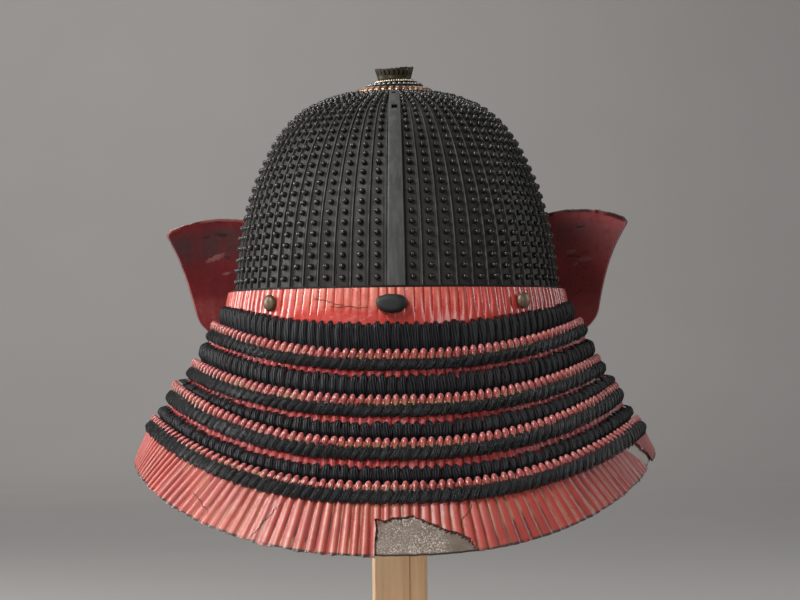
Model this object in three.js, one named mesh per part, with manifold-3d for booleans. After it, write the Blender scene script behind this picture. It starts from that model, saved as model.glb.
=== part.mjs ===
// A samurai helmet on a plain wooden stand: a ridged iron bowl with a crown fitting, a visor, and a neck
// guard of five lacquered lames joined by silk lacing, whose top lame turns back into two ear flaps.
// Millimetres, +Z up. The wearer faces +Y, and the origin is the centre of the stand's underside.

import * as THREE from "three";
import { mergeVertices } from "three/addons/utils/BufferGeometryUtils.js";
import Module from "manifold-3d";

const wasm = await Module();
wasm.setup();

// ---- Driving dimensions. Levels are heights from the bowl's rim, and angles run from the back. ----

const RIM_HEIGHT = 270; // of the bowl's lower edge above the table
const GAP = 0.4; // air between two pieces that touch on the real helmet

const BOWL = {
  plates: 62,
  ridge: 1.4, // height of the flange where one plate laps the next
  ridgeWidth: 1.3,
  wall: 2.4,
  lengthRatio: 1.115, // front-to-back size over width, at every level
};
const BOWL_PROFILE = [
  { level: 0, reach: 107.5 },
  { level: 34, reach: 103.2 },
  { level: 62, reach: 96.4 },
  { level: 86, reach: 86.8 },
  { level: 105, reach: 75.6 },
  { level: 118.6, reach: 62 },
  { level: 127.4, reach: 43 },
  { level: 130.8, reach: 26 },
  { level: 131.5, reach: 12.5 },
];
const CENTRE_PLATE = { wall: 1, halfWidthLow: 5.7, halfWidthHigh: 3.1, low: 0.02, high: 0.885 };
const WAIST_BAND = { wall: 2.5, offset: 3.5, top: 1.2, bottom: -28 };

// Rings of the crown fitting, as a radius and a level for each corner of their turned profiles.
const CROWN_ROSETTE = [
  { radius: 0, level: 132.9 }, { radius: 13, level: 132.8 }, { radius: 25, level: 132.3 },
  { radius: 25.9, level: 133.4 }, { radius: 25.6, level: 135.6 }, { radius: 23.6, level: 137 },
  { radius: 17, level: 137.6 }, { radius: 0, level: 137.9 },
];
const CROWN_ROPE_RING = [
  { radius: 0, level: 138.3 }, { radius: 18.2, level: 138.1 }, { radius: 19.3, level: 138.9 },
  { radius: 18.4, level: 139.8 }, { radius: 0, level: 139.9 },
];
const CROWN_BEAD_RING = [
  { radius: 0, level: 140.3 }, { radius: 15, level: 140.3 }, { radius: 15, level: 141 },
  { radius: 12.2, level: 141.2 }, { radius: 11.6, level: 142.6 }, { radius: 0, level: 142.7 },
];
const CROWN_CUP = [
  { radius: 0, level: 143.1 }, { radius: 10.4, level: 143.1 }, { radius: 10.8, level: 144.4 },
  { radius: 12.3, level: 149.4 }, { radius: 12.7, level: 150.9 }, { radius: 10.2, level: 150.9 },
  { radius: 9, level: 146 }, { radius: 0, level: 145.6 },
];

// The lames from the top. top is the level of the upper edge at the back, and rise is how much higher that
// edge runs at the sides. reachX and reachY are half the width and the reach to the back, and flare is the
// outward slope. The rest are drops below the upper edge, at the back and at the sides: of the lower edge,
// of the line where the laces come out and of the braid's middle.
const LAMES = [
  { top: -0.3, rise: 0, reachX: 114.8, reachY: 127.2, flare: 0.125, end: 120,
    edgeBack: 48, edgeSide: 28.6, laceBack: 21.7, laceSide: 8.4 },
  { top: -39.1, rise: 21.1, reachX: 125.4, reachY: 140, flare: 0.205, end: 78,
    edgeBack: 38.6, edgeSide: 34.6, laceBack: 16.1, laceSide: 14.5, braidBack: 10.1, braidSide: 8.6 },
  { top: -67.6, rise: 25.7, reachX: 137.5, reachY: 154.5, flare: 0.3, end: 77,
    edgeBack: 37.4, edgeSide: 26.6, laceBack: 17, laceSide: 13.9, braidBack: 10.2, braidSide: 8.8 },
  { top: -94.1, rise: 36.5, reachX: 150.3, reachY: 171, flare: 0.3, end: 76.5,
    edgeBack: 36.4, edgeSide: 31.2, laceBack: 17.6, laceSide: 16, braidBack: 10, braidSide: 9.1 },
  { top: -120.1, rise: 41, reachX: 164.4, reachY: 186, flare: 0.48, end: 76,
    edgeBack: 44.8, edgeSide: 33.4, braidBack: 9.7, braidSide: 6.8 },
];
const LAME_WALL = 2.2;
const RISE_POWER = 2.5; // how late the edges climb on their way from the back to the sides
const FLUTE = { pitch: 6.5, depth: 0.9 }; // upright ridges of the top and the lowest lame

// bulgeFrom and bulgeTo are shares of the way down the open part of the laces, where they bulge most.
const LACING = {
  gap: 0.9, bulge: 6.2, bulgeFrom: 0.25, bulgeTo: 0.8, tuckDepth: 5, tuckThickness: 3.4, setback: 0.4,
};
// foot and face are shares of half the height: of the side on the lame, and of the flat outer side.
const BRAID = { gap: 0.8, halfHeight: 4.4, foot: 0.75, face: 0.5, depth: 3.4, setback: 0.2 };
const BAND_PARTS = 24; // straight parts round a smooth lame, a row of laces or a braid

// The coat broken off the lowest lame: sideways place and drop below its upper edge.
const CHIP_DEPTH = 1.2;
const CHIP_SPAN = { from: -20, to: 30, parts: 10 }; // angles that the coat is cut between, and its faces
const CHIP_OUTLINE = [
  { across: -13.4, drop: 54.2 },
  { across: -13.4, drop: 24.6 },
  { across: 3, drop: 23.2 },
  { across: 12.4, drop: 23.6 },
  { across: 18.6, drop: 27.2 },
  { across: 33.4, drop: 32.2 },
  { across: 46.6, drop: 37.2 },
  { across: 51, drop: 54.2 },
];

// The ear flap, into which the top lame folds back. sweep is its direction in plan, in degrees from +X.
const FLAP = {
  foldRadius: 8, sweep: -24,
  lowReach: 135.5, highReach: 160, cornerShare: 0.15, cornerCut: 6,
  peakLevel: 56, peakReach: 124, archSpan: 40, archDrop: 9.5,
  bottomLevel: -28,
};
// Columns of the flap: its start within the lame, those round the fold and those of the sheet.
const FLAP_COLUMNS = [-0.03, 0.001, 0.2, 0.4, 0.6, 0.8, 1, 1.5, 2];

const VISOR = { end: 54, wall: 2, offset: 7, endShare: 0.2 }; // endShare: of the brim, left at its ends
const VISOR_SECTION = [
  { out: 0, level: -3 },
  { out: 0, level: -13 },
  { out: 9, level: -19 },
  { out: 22, level: -23 },
  { out: 36, level: -25 },
];

const NECK_RIVET = { radius: 5.2, dome: 3.6, angle: 44.8, level: -9.5 };
const VISOR_RIVET = { radius: 4, dome: 2.8, angles: [-32, 0, 32], level: -8 };
const KNOB = { length: 19.8, height: 12.4, depth: 7, angle: -1.5, level: -10.7 };

const BASE = { side: 240, thickness: 24, edge: 3 };
const POST = { side: 37, chamfer: 4, joint: 6.8, jointWidth: 1, jointDepth: 1 };
// The pad's shares are places on the way up the bowl's profile, where the two fit together.
const PAD = { bottom: 104, edge: 1, shares: [0.75, 0.875, 1] };

const RADIANS = Math.PI / 180;

// ---- Materials ----

const finish = (color, roughness, metalness) =>
  new THREE.MeshStandardMaterial({ color, roughness, metalness });

const blackIron = () => finish(0x2c2c2b, 0.5, 0.7);
const greyIron = () => finish(0x4b4c4c, 0.5, 0.7);
const redLacquer = () => finish(0xb5352c, 0.25, 0);
const darkSilk = () => finish(0x15171d, 0.9, 0);
const agedBrass = () => finish(0x7d6647, 0.35, 0.9);
const warmCopper = () => finish(0xa8704c, 0.4, 0.9);
const blackLacquer = () => finish(0x1b1c1d, 0.3, 0);
const paleWood = () => finish(0xb08a60, 0.6, 0);

// ---- Closed solids ----

const steps = (count) => Array.from({ length: count + 1 }, (_, i) => i / count);

// Joins rings of points by faces. The first and last ring are capped, or joined where the solid goes round.
function loft(rings, capFaces, wrap = false) {
  const size = rings[0].length;
  const faces = [];
  const joins = wrap ? rings.length : rings.length - 1;
  for (let ring = 0; ring < joins; ring++) {
    const here = ring * size;
    const next = ((ring + 1) % rings.length) * size;
    for (let k = 0; k < size; k++) {
      const after = (k + 1) % size;
      faces.push([here + k, next + k, next + after], [here + k, next + after, here + after]);
    }
  }
  if (!wrap) {
    const last = (rings.length - 1) * size;
    for (const [a, b, c] of capFaces) {
      faces.push([a, b, c], [last + a, last + c, last + b]);
    }
  }
  return outwardGeometry(rings.flat(), faces);
}

// Turns the faces outwards, by the sign of the volume that they enclose.
function outwardGeometry(corners, faces) {
  const cross = new THREE.Vector3();
  const volume = faces.reduce(
    (sum, [a, b, c]) => sum + corners[a].dot(cross.crossVectors(corners[b], corners[c])), 0);
  const geometry = new THREE.BufferGeometry().setFromPoints(corners);
  geometry.setIndex(faces.flatMap(([a, b, c]) => (volume < 0 ? [a, c, b] : [a, b, c])));
  return geometry;
}

// A curved wall. at(u, v) is a point of its outer face, with u along the wall and v from its lower edge to
// its upper one. The wall grows inwards from there, and relief moves the outer face of one column.
function wallSolid({ at, columns, rows, innerRows = rows, thickness, relief = () => 0, wrap = false }) {
  const nudge = 1e-3;
  const outward = (u, v) => {
    const along = at(u + nudge, v).sub(at(u - nudge, v));
    const across = at(u, Math.min(v + nudge, 1)).sub(at(u, Math.max(v - nudge, 0)));
    return along.cross(across).normalize();
  };
  const rings = columns.map((u, i) => [
    ...rows.map((v) => at(u, v).addScaledVector(outward(u, v), relief(i, v))),
    ...innerRows.toReversed().map((v) => at(u, v).addScaledVector(outward(u, v), -thickness)),
  ]);
  const last = 2 * rows.length - 1;
  const caps = rows.slice(1).flatMap((_, r) => [
    [r, r + 1, last - r],
    [r + 1, last - r - 1, last - r],
  ]);
  return loft(rings, caps, wrap);
}

// A band whose cross-section, a list of points, is given for every angle.
function bandSolid(angles, sectionAt) {
  const rings = angles.map(sectionAt);
  const fan = rings[0].slice(2).map((_, k) => [0, k + 1, k + 2]);
  return loft(rings, fan);
}

function toManifold(geometry) {
  const bare = geometry.clone();
  bare.deleteAttribute("normal");
  bare.deleteAttribute("uv");
  const merged = mergeVertices(bare);
  return new wasm.Manifold(new wasm.Mesh({
    numProp: 3,
    vertProperties: merged.attributes.position.array,
    triVerts: new Uint32Array(merged.index.array),
  }));
}

function fromManifold(solid) {
  const { vertProperties, triVerts } = solid.getMesh();
  const geometry = new THREE.BufferGeometry();
  geometry.setAttribute("position", new THREE.BufferAttribute(vertProperties, 3));
  geometry.setIndex(new THREE.BufferAttribute(triVerts, 1));
  return geometry;
}

const joined = (...geometries) =>
  fromManifold(geometries.map(toManifold).reduce((whole, solid) => whole.add(solid)));

// The helmet's own group stands at the rim's level, and the stand's group at the table.
const helmet = new THREE.Group();
helmet.position.z = RIM_HEIGHT;
const stand = new THREE.Group();

function addPiece(group, name, geometry, material) {
  const mesh = new THREE.Mesh(geometry, material);
  mesh.name = name;
  group.add(mesh);
  return mesh;
}

// ---- The helmet's plan ----

// A point of the ellipse with these half sizes, moved out along its normal.
function ellipsePoint(reachX, reachY, angle, level, out = 0) {
  const normal = new THREE.Vector2(Math.sin(angle) / reachX, -Math.cos(angle) / reachY).normalize();
  return new THREE.Vector3(
    reachX * Math.sin(angle) + normal.x * out,
    -reachY * Math.cos(angle) + normal.y * out,
    level);
}

// Angles that part an ellipse's arc into equal lengths.
function evenAngles(reachX, reachY, from, to, parts) {
  const fineness = 4000;
  const angleAt = (i) => from + ((to - from) * i) / fineness;
  const lengths = [0];
  for (let i = 1; i <= fineness; i++) {
    const middle = angleAt(i - 0.5);
    lengths.push(lengths[i - 1] + Math.hypot(reachX * Math.cos(middle), reachY * Math.sin(middle)));
  }
  let at = 1;
  return steps(parts).map((share) => {
    const wanted = share * lengths[fineness];
    while (at < fineness && lengths[at] < wanted) at++;
    const part = (wanted - lengths[at - 1]) / (lengths[at] - lengths[at - 1]);
    return angleAt(at - 1 + part);
  });
}

// ---- Bowl ----

const bowlCurve = new THREE.SplineCurve(
  BOWL_PROFILE.map(({ level, reach }) => new THREE.Vector2(reach, level)));

// A point of the bowl's face at a share of the way up its profile, moved out square to the face.
function bowlPoint(angle, share, out = 0) {
  const { x: reach, y: level } = bowlCurve.getPoint(share);
  const slope = bowlCurve.getTangent(share);
  return ellipsePoint(reach, reach * BOWL.lengthRatio, angle, level - slope.x * out, slope.y * out);
}

// Each plate starts low beside its neighbour and climbs to the flange on its far side.
function makeBowl() {
  const { reach } = BOWL_PROFILE[0];
  const halfPlates = evenAngles(reach, reach * BOWL.lengthRatio, 0, 2 * Math.PI, 2 * BOWL.plates);
  const seams = halfPlates.filter((_, i) => i % 2 === 1);
  const columns = seams.flatMap((angle) => [angle - BOWL.ridgeWidth / reach, angle]);
  const geometry = wallSolid({
    at: bowlPoint,
    columns,
    rows: steps(7),
    innerRows: [0, 0.25, 0.5, ...PAD.shares],
    thickness: BOWL.wall,
    relief: (i, v) => (i % 2 === 0 ? BOWL.ridge * (1 - 0.6 * v) : 0),
    wrap: true,
  });
  addPiece(helmet, "bowl", geometry, blackIron());
}

// The smooth plates at the back and the front, laid over the seams.
function makeCentrePlate(name, middle) {
  const { wall, halfWidthLow, halfWidthHigh, low, high } = CENTRE_PLATE;
  const geometry = wallSolid({
    at: (u, v) => {
      const point = bowlPoint(middle, low + (high - low) * v, BOWL.ridge + GAP + wall);
      point.x += u * (halfWidthLow + (halfWidthHigh - halfWidthLow) * v) * Math.cos(middle);
      return point;
    },
    columns: [-1, 1],
    rows: steps(9),
    thickness: wall,
  });
  addPiece(helmet, name, geometry, greyIron());
}

// The band round the bowl's foot, which carries the top lame and the visor.
function makeWaistBand() {
  const { wall, offset, top, bottom } = WAIST_BAND;
  const { reach } = BOWL_PROFILE[0];
  const geometry = wallSolid({
    at: (u, v) => {
      const level = bottom + (top - bottom) * v;
      return ellipsePoint(reach, reach * BOWL.lengthRatio, u, level, offset + wall / 2);
    },
    columns: steps(40).slice(1).map((share) => share * 2 * Math.PI),
    rows: [0, 1],
    thickness: wall,
    wrap: true,
  });
  addPiece(helmet, "waist_band", geometry, blackIron());
}

function makeCrown() {
  const crownPieces = [
    { name: "crown_rosette", profile: CROWN_ROSETTE, sides: 24, material: warmCopper },
    { name: "crown_rope_ring", profile: CROWN_ROPE_RING, sides: 20, material: agedBrass },
    { name: "crown_bead_ring", profile: CROWN_BEAD_RING, sides: 18, material: agedBrass },
    { name: "crown_cup", profile: CROWN_CUP, sides: 18, material: agedBrass },
  ];
  for (const { name, profile, sides, material } of crownPieces) {
    const points = profile.map(({ radius, level }) => new THREE.Vector2(radius, level));
    const turned = new THREE.LatheGeometry(points, sides).rotateX(Math.PI / 2);
    addPiece(helmet, name, turned, material());
  }
}

// ---- Neck guard ----

// The value at an angle of what changes from the back to the sides, and stays the same in front of them.
function blend(back, side, angle) {
  const share = Math.abs(angle) > Math.PI / 2 ? 1 : Math.abs(Math.sin(angle)) ** RISE_POWER;
  return back + (side - back) * share;
}

// A point of a lame's outer face, so far below its upper edge.
function lamePoint(lame, angle, drop, out = 0) {
  const spread = lame.flare * drop;
  const level = blend(lame.top, lame.top + lame.rise, angle) - drop;
  return ellipsePoint(lame.reachX + spread, lame.reachY + spread, angle, level, out);
}

const lowerEdge = (lame, angle) => blend(lame.edgeBack, lame.edgeSide, angle);

// Angles from one end of a lame to the other, evenly spaced, that stop short of its ends.
function lameAngles(lame, parts, setback = 0) {
  const end = (lame.end - setback) * RADIANS;
  return evenAngles(lame.reachX, lame.reachY, -end, end, parts);
}

const plainLame = (lame) => wallSolid({
  at: (angle, v) => lamePoint(lame, angle, lowerEdge(lame, angle) * (1 - v)),
  columns: lameAngles(lame, BAND_PARTS),
  rows: [0, 1],
  thickness: LAME_WALL,
});

function flutedLame(lame) {
  const arc = (2 * lame.end * RADIANS * (lame.reachX + lame.reachY)) / 2;
  return wallSolid({
    at: (angle, v) => lamePoint(lame, angle, lowerEdge(lame, angle) * (1 - v)),
    columns: lameAngles(lame, 2 * Math.round(arc / FLUTE.pitch)),
    rows: [0, 1],
    thickness: LAME_WALL,
    relief: (i) => (i % 2 === 0 ? 0 : -FLUTE.depth),
  });
}

// The ear flap: a tight fold outwards, then a flat sheet that leans back beside the bowl. u is 0 to 1 round
// the fold and 1 to 2 along the sheet, on the +X side. Below 0 it runs back over the lame.
function flapPoint(lame, u, v) {
  const end = lame.end * RADIANS;
  if (u < 0) {
    return lamePoint(lame, end + u, lowerEdge(lame, end) * (1 - v));
  }
  const { foldRadius, sweep, peakLevel, peakReach, archSpan, archDrop, bottomLevel } = FLAP;
  const { lowReach, highReach, cornerShare, cornerCut } = FLAP;
  const start = ellipsePoint(lame.reachX, lame.reachY, end, 0);
  const startHeading = Math.atan2(lame.reachY * Math.sin(end), lame.reachX * Math.cos(end));
  const endHeading = sweep * RADIANS;
  const heading = THREE.MathUtils.lerp(startHeading, endHeading, Math.min(u, 1));
  const corner = cornerCut * Math.max(0, 1 - v / cornerShare) ** 2;
  const reach = lowReach + (highReach - lowReach) * v - corner;
  const point = start.clone();
  point.x += foldRadius * (Math.sin(startHeading) - Math.sin(heading));
  point.y += foldRadius * (Math.cos(heading) - Math.cos(startHeading));
  if (u > 1) {
    const travel = (reach - point.x) * (u - 1);
    point.x += travel;
    point.y += travel * Math.tan(endHeading);
  }
  const archLevel = peakLevel - archDrop * ((point.x - peakReach) / archSpan) ** 2;
  const climb = THREE.MathUtils.smoothstep(u, 0, 1);
  const top = THREE.MathUtils.lerp(lame.top, archLevel, climb);
  const bottom = THREE.MathUtils.lerp(lame.top - lowerEdge(lame, end), bottomLevel, climb);
  point.z = THREE.MathUtils.lerp(bottom, top, v);
  return point;
}

function flapSolid(lame, side) {
  return wallSolid({
    at: (u, v) => flapPoint(lame, u * side, v).multiply(new THREE.Vector3(side, 1, 1)),
    columns: FLAP_COLUMNS.map((u) => u * side),
    rows: [0, FLAP.cornerShare, 0.5, 0.8, 1],
    thickness: LAME_WALL,
  });
}

function makeTopLame(lame, name) {
  const geometry = joined(flutedLame(lame), flapSolid(lame, 1), flapSolid(lame, -1));
  addPiece(helmet, name, geometry, redLacquer());
}

// The lowest lame, with the place at the back where its coat has broken off.
function makeLowestLame(lame, name) {
  const { from, to, parts } = CHIP_SPAN;
  const margin = 4;
  const skin = wallSolid({
    at: (angle, v) => lamePoint(lame, angle, lame.edgeBack + margin - lame.edgeBack * v, margin),
    columns: steps(parts).map((share) => THREE.MathUtils.lerp(from, to, share) * RADIANS),
    rows: [0, 1],
    thickness: margin + CHIP_DEPTH,
  });
  const outline = new THREE.Shape(
    CHIP_OUTLINE.map(({ across, drop }) => new THREE.Vector2(across, -drop)));
  const window = new THREE.ExtrudeGeometry(outline, { depth: lame.reachY, bevelEnabled: false });
  window.rotateX(Math.PI / 2).translate(0, -lame.reachY / 2, lame.top);
  const chip = toManifold(skin).intersect(toManifold(window));
  addPiece(helmet, name, fromManifold(toManifold(flutedLame(lame)).subtract(chip)), redLacquer());
}

// The laces come out of one lame, bulge over its lower part and go in behind the lame below.
function makeLacing(lame, lameBelow, name) {
  const { gap, bulge, bulgeFrom, bulgeTo, tuckDepth, tuckThickness, setback } = LACING;
  const geometry = bandSolid(lameAngles(lameBelow, BAND_PARTS, setback), (angle) => {
    const start = blend(lame.laceBack, lame.laceSide, angle);
    const upperEdge = blend(lame.top, lame.top + lame.rise, angle);
    const tuck = upperEdge - blend(lameBelow.top, lameBelow.top + lameBelow.rise, angle);
    const visible = tuck - start;
    return [
      lamePoint(lame, angle, start, gap),
      lamePoint(lame, angle, start + bulgeFrom * visible, bulge),
      lamePoint(lame, angle, start + bulgeTo * visible, bulge),
      lamePoint(lame, angle, tuck, tuckThickness),
      lamePoint(lame, angle, tuck + tuckDepth, tuckThickness),
      lamePoint(lame, angle, tuck + tuckDepth, gap),
    ];
  });
  addPiece(helmet, name, geometry, darkSilk());
}

function makeBraid(lame, name) {
  const { gap, halfHeight, foot, face, depth, setback } = BRAID;
  const geometry = bandSolid(lameAngles(lame, BAND_PARTS, setback), (angle) => {
    const middle = blend(lame.braidBack, lame.braidSide, angle);
    return [
      lamePoint(lame, angle, middle - foot * halfHeight, gap),
      lamePoint(lame, angle, middle - halfHeight, depth / 2),
      lamePoint(lame, angle, middle - face * halfHeight, depth),
      lamePoint(lame, angle, middle + face * halfHeight, depth),
      lamePoint(lame, angle, middle + halfHeight, depth / 2),
      lamePoint(lame, angle, middle + foot * halfHeight, gap),
    ];
  });
  addPiece(helmet, name, geometry, darkSilk());
}

function makeNeckGuard() {
  makeTopLame(LAMES[0], "lame_1");
  LAMES.slice(1, -1).forEach((lame, i) => {
    addPiece(helmet, `lame_${i + 2}`, plainLame(lame), redLacquer());
  });
  makeLowestLame(LAMES.at(-1), "lame_5");
  for (let i = 1; i < LAMES.length; i++) {
    makeLacing(LAMES[i - 1], LAMES[i], `lacing_${i}`);
    makeBraid(LAMES[i], `braid_${i}`);
  }
}

// ---- Rivets and knob ----

// A dome with a flat back, which faces -Y until it is turned to its place on the helmet.
function domeGeometry(width, height, depth) {
  const profile = steps(3).map((share) => {
    const turn = (share * Math.PI) / 2;
    return new THREE.Vector2(Math.cos(turn), Math.sin(turn));
  });
  profile.at(-1).x = 0;
  const dome = new THREE.LatheGeometry([new THREE.Vector2(0, 0), ...profile], 12);
  return dome.rotateX(Math.PI).scale(width / 2, depth, height / 2);
}

// Sets a piece on an upright wall of the helmet, at an angle from the back.
function placeOnWall(mesh, reachX, reachY, angle, level, out) {
  mesh.position.copy(ellipsePoint(reachX, reachY, angle, level, out));
  mesh.rotation.z = Math.atan2(reachY * Math.sin(angle), reachX * Math.cos(angle));
}

function makeNeckFittings() {
  const [lame] = LAMES;
  const fittings = [
    { name: "rivet_left", ...NECK_RIVET, angle: -NECK_RIVET.angle, material: agedBrass },
    { name: "rivet_right", ...NECK_RIVET, material: agedBrass },
    { name: "back_knob", ...KNOB, material: blackLacquer },
  ];
  for (const { name, angle, level, material, ...size } of fittings) {
    const { length = 2 * size.radius, height = length, depth = size.dome } = size;
    const mesh = addPiece(helmet, name, domeGeometry(length, height, depth), material());
    const spread = lame.flare * (lame.top - (level - height / 2));
    placeOnWall(mesh, lame.reachX + spread, lame.reachY + spread, angle * RADIANS, level, GAP);
  }
}

// ---- Visor ----

// The brim is widest in front and dies away towards its ends, at an angle from the front.
function visorPoint(angle, v) {
  const { end, offset, endShare } = VISOR;
  const { reach } = BOWL_PROFILE[0];
  const place = v * (VISOR_SECTION.length - 1);
  const row = Math.min(Math.floor(place), VISOR_SECTION.length - 2);
  const low = VISOR_SECTION[VISOR_SECTION.length - 1 - row];
  const high = VISOR_SECTION[VISOR_SECTION.length - 2 - row];
  const out = THREE.MathUtils.lerp(low.out, high.out, place - row);
  const level = THREE.MathUtils.lerp(low.level, high.level, place - row);
  const brim = Math.max(Math.sqrt(Math.max(1 - (angle / (end * RADIANS)) ** 2, 0)), endShare);
  return ellipsePoint(reach, reach * BOWL.lengthRatio, angle + Math.PI, level, offset + out * brim);
}

function makeVisor() {
  const geometry = wallSolid({
    at: visorPoint,
    columns: steps(14).map((share) => (2 * share - 1) * VISOR.end * RADIANS),
    rows: steps(VISOR_SECTION.length - 1),
    thickness: VISOR.wall,
  });
  addPiece(helmet, "visor", geometry, blackIron());
  const { reach } = BOWL_PROFILE[0];
  const { radius, dome, angles, level } = VISOR_RIVET;
  angles.forEach((angle, i) => {
    const rivet = domeGeometry(2 * radius, 2 * radius, dome);
    const mesh = addPiece(helmet, `visor_rivet_${i + 1}`, rivet, blackIron());
    const turn = Math.PI + angle * RADIANS;
    placeOnWall(mesh, reach, reach * BOWL.lengthRatio, turn, level, VISOR.offset + GAP);
  });
}

// ---- Stand ----

function makeStand() {
  const { side, thickness, edge } = BASE;
  const half = side / 2 - edge;
  const square = new THREE.Shape([[-half, -half], [half, -half], [half, half], [-half, half]]
    .map(([x, y]) => new THREE.Vector2(x, y)));
  const board = new THREE.ExtrudeGeometry(square, {
    depth: thickness - 2 * edge, bevelThickness: edge, bevelSize: edge, bevelSegments: 1,
  });
  addPiece(stand, "stand_base", board, paleWood()).position.z = edge;

  const { chamfer, joint, jointWidth, jointDepth } = POST;
  const edgeAt = POST.side / 2;
  const inset = edgeAt - chamfer / 2;
  const section = [
    [-inset, -edgeAt],
    [joint - jointWidth / 2, -edgeAt], [joint, jointDepth - edgeAt], [joint + jointWidth / 2, -edgeAt],
    [inset, -edgeAt], [edgeAt, -inset], [edgeAt, inset], [inset, edgeAt],
    [-inset, edgeAt], [-edgeAt, inset], [-edgeAt, -inset],
  ].map(([x, y]) => new THREE.Vector2(x, y));
  const postTop = RIM_HEIGHT + PAD.bottom - GAP;
  const post = new THREE.ExtrudeGeometry(new THREE.Shape(section), {
    depth: postTop - thickness - GAP, bevelEnabled: false,
  });
  addPiece(stand, "stand_post", post, paleWood()).position.z = thickness + GAP;

  // The pad is turned to the shape of the bowl's inside, so that the bowl sits on it all over.
  const crown = PAD.shares.map((share) => bowlPoint(Math.PI / 2, share, -BOWL.wall - GAP));
  const radius = crown[0].x + PAD.edge;
  const padProfile = [
    new THREE.Vector2(0, PAD.bottom),
    new THREE.Vector2(radius, PAD.bottom),
    new THREE.Vector2(radius, crown[0].z - 2 * PAD.edge),
    ...crown.map((point) => new THREE.Vector2(point.x, point.z)),
    new THREE.Vector2(0, crown.at(-1).z),
  ];
  const pad = new THREE.LatheGeometry(padProfile, 24).rotateX(Math.PI / 2);
  addPiece(helmet, "stand_pad", pad, paleWood());
}

makeBowl();
makeCentrePlate("centre_plate_back", 0);
makeCentrePlate("centre_plate_front", Math.PI);
makeWaistBand();
makeCrown();
makeNeckGuard();
makeNeckFittings();
makeVisor();
makeStand();

const kabuto = new THREE.Group();
kabuto.add(helmet, stand);

export default kabuto;
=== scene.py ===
# A riveted samurai helmet with a laced, lacquered neck guard, held up by a plain wooden stand.
import math

import bpy
import numpy as np
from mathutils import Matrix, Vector


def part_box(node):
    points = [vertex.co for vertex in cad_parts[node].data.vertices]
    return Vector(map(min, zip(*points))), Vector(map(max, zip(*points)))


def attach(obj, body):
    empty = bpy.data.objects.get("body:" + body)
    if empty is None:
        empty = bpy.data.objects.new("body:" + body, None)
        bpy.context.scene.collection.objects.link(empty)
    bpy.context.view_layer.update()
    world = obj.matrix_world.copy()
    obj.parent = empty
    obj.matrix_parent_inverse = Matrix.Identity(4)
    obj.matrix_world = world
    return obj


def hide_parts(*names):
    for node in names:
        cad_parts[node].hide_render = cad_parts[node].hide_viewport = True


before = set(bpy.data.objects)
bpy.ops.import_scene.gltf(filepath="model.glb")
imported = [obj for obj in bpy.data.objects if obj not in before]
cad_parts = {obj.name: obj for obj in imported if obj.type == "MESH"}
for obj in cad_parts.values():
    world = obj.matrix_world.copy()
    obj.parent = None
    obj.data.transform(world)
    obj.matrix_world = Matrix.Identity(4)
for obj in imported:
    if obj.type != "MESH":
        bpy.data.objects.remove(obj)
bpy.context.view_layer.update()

mm = 0.001
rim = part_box("bowl")[0].z / mm  # height of the bowl's lower edge, in millimetres
dice = np.random.default_rng(62)


# What every piece needs

def deselectAll():
    if bpy.context.mode != "OBJECT":
        bpy.ops.object.mode_set(mode="OBJECT")
    bpy.ops.object.select_all(action="DESELECT")


def focusOn(piece):
    deselectAll()
    piece.select_set(True)
    bpy.context.view_layer.objects.active = piece


def placeVertices(piece, points):
    # points are in millimetres, one row for each vertex
    piece.data.vertices.foreach_set("co", (np.asarray(points) * mm).astype(np.float32).ravel())
    piece.data.update()


def readVertices(piece):
    flat = np.empty(len(piece.data.vertices) * 3, np.float32)
    piece.data.vertices.foreach_get("co", flat)
    return flat.reshape(-1, 3).astype(float)


def paint(piece, name, values):
    # a number for each vertex, which the material reads as an attribute
    layer = piece.data.attributes.get(name) or piece.data.attributes.new(name, "FLOAT", "POINT")
    layer.data.foreach_set("value", np.broadcast_to(values, len(piece.data.vertices)).astype(np.float32))


def smooth(piece, angle=40):
    focusOn(piece)
    bpy.ops.object.shade_smooth_by_angle(angle=math.radians(angle))


def applyModifier(piece, kind, **settings):
    focusOn(piece)
    modifier = piece.modifiers.new(kind.title(), kind)
    for key, value in settings.items():
        setattr(modifier, key, value)
    bpy.ops.object.modifier_apply(modifier=modifier.name)


def addSheet(name, columns, rows, pointAt):
    # a grid whose u runs along the wall and v up it, bent to shape by pointAt(u, v)
    deselectAll()
    bpy.ops.mesh.primitive_grid_add(x_subdivisions=columns, y_subdivisions=rows, size=2)
    piece = bpy.context.object
    piece.name = piece.data.name = name
    flat = readVertices(piece)
    u, v = (flat[:, 0] + 1) / 2, (flat[:, 1] + 1) / 2
    placeVertices(piece, pointAt(u, v))
    return piece, u, v


def thicken(piece, thickness):
    applyModifier(piece, "SOLIDIFY", thickness=thickness * mm, offset=-1, use_even_offset=False)


def roundEdges(piece, width):
    applyModifier(piece, "BEVEL", width=width * mm, segments=2, limit_method="ANGLE",
                  angle_limit=math.radians(50))


def weld(piece, distance=0.02):
    # merges what lies closer than the distance, if there is one, and turns the faces outwards
    focusOn(piece)
    bpy.ops.object.mode_set(mode="EDIT")
    bpy.ops.mesh.select_all(action="SELECT")
    if distance:
        bpy.ops.mesh.remove_doubles(threshold=distance * mm)
    bpy.ops.mesh.normals_make_consistent(inside=False)
    bpy.ops.object.mode_set(mode="OBJECT")


def faceRows(mesh):
    totals = np.empty(len(mesh.polygons), np.int32)
    mesh.polygons.foreach_get("loop_total", totals)
    corners = np.empty(len(mesh.loops), np.int32)
    mesh.loops.foreach_get("vertex_index", corners)
    return totals, corners


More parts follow.
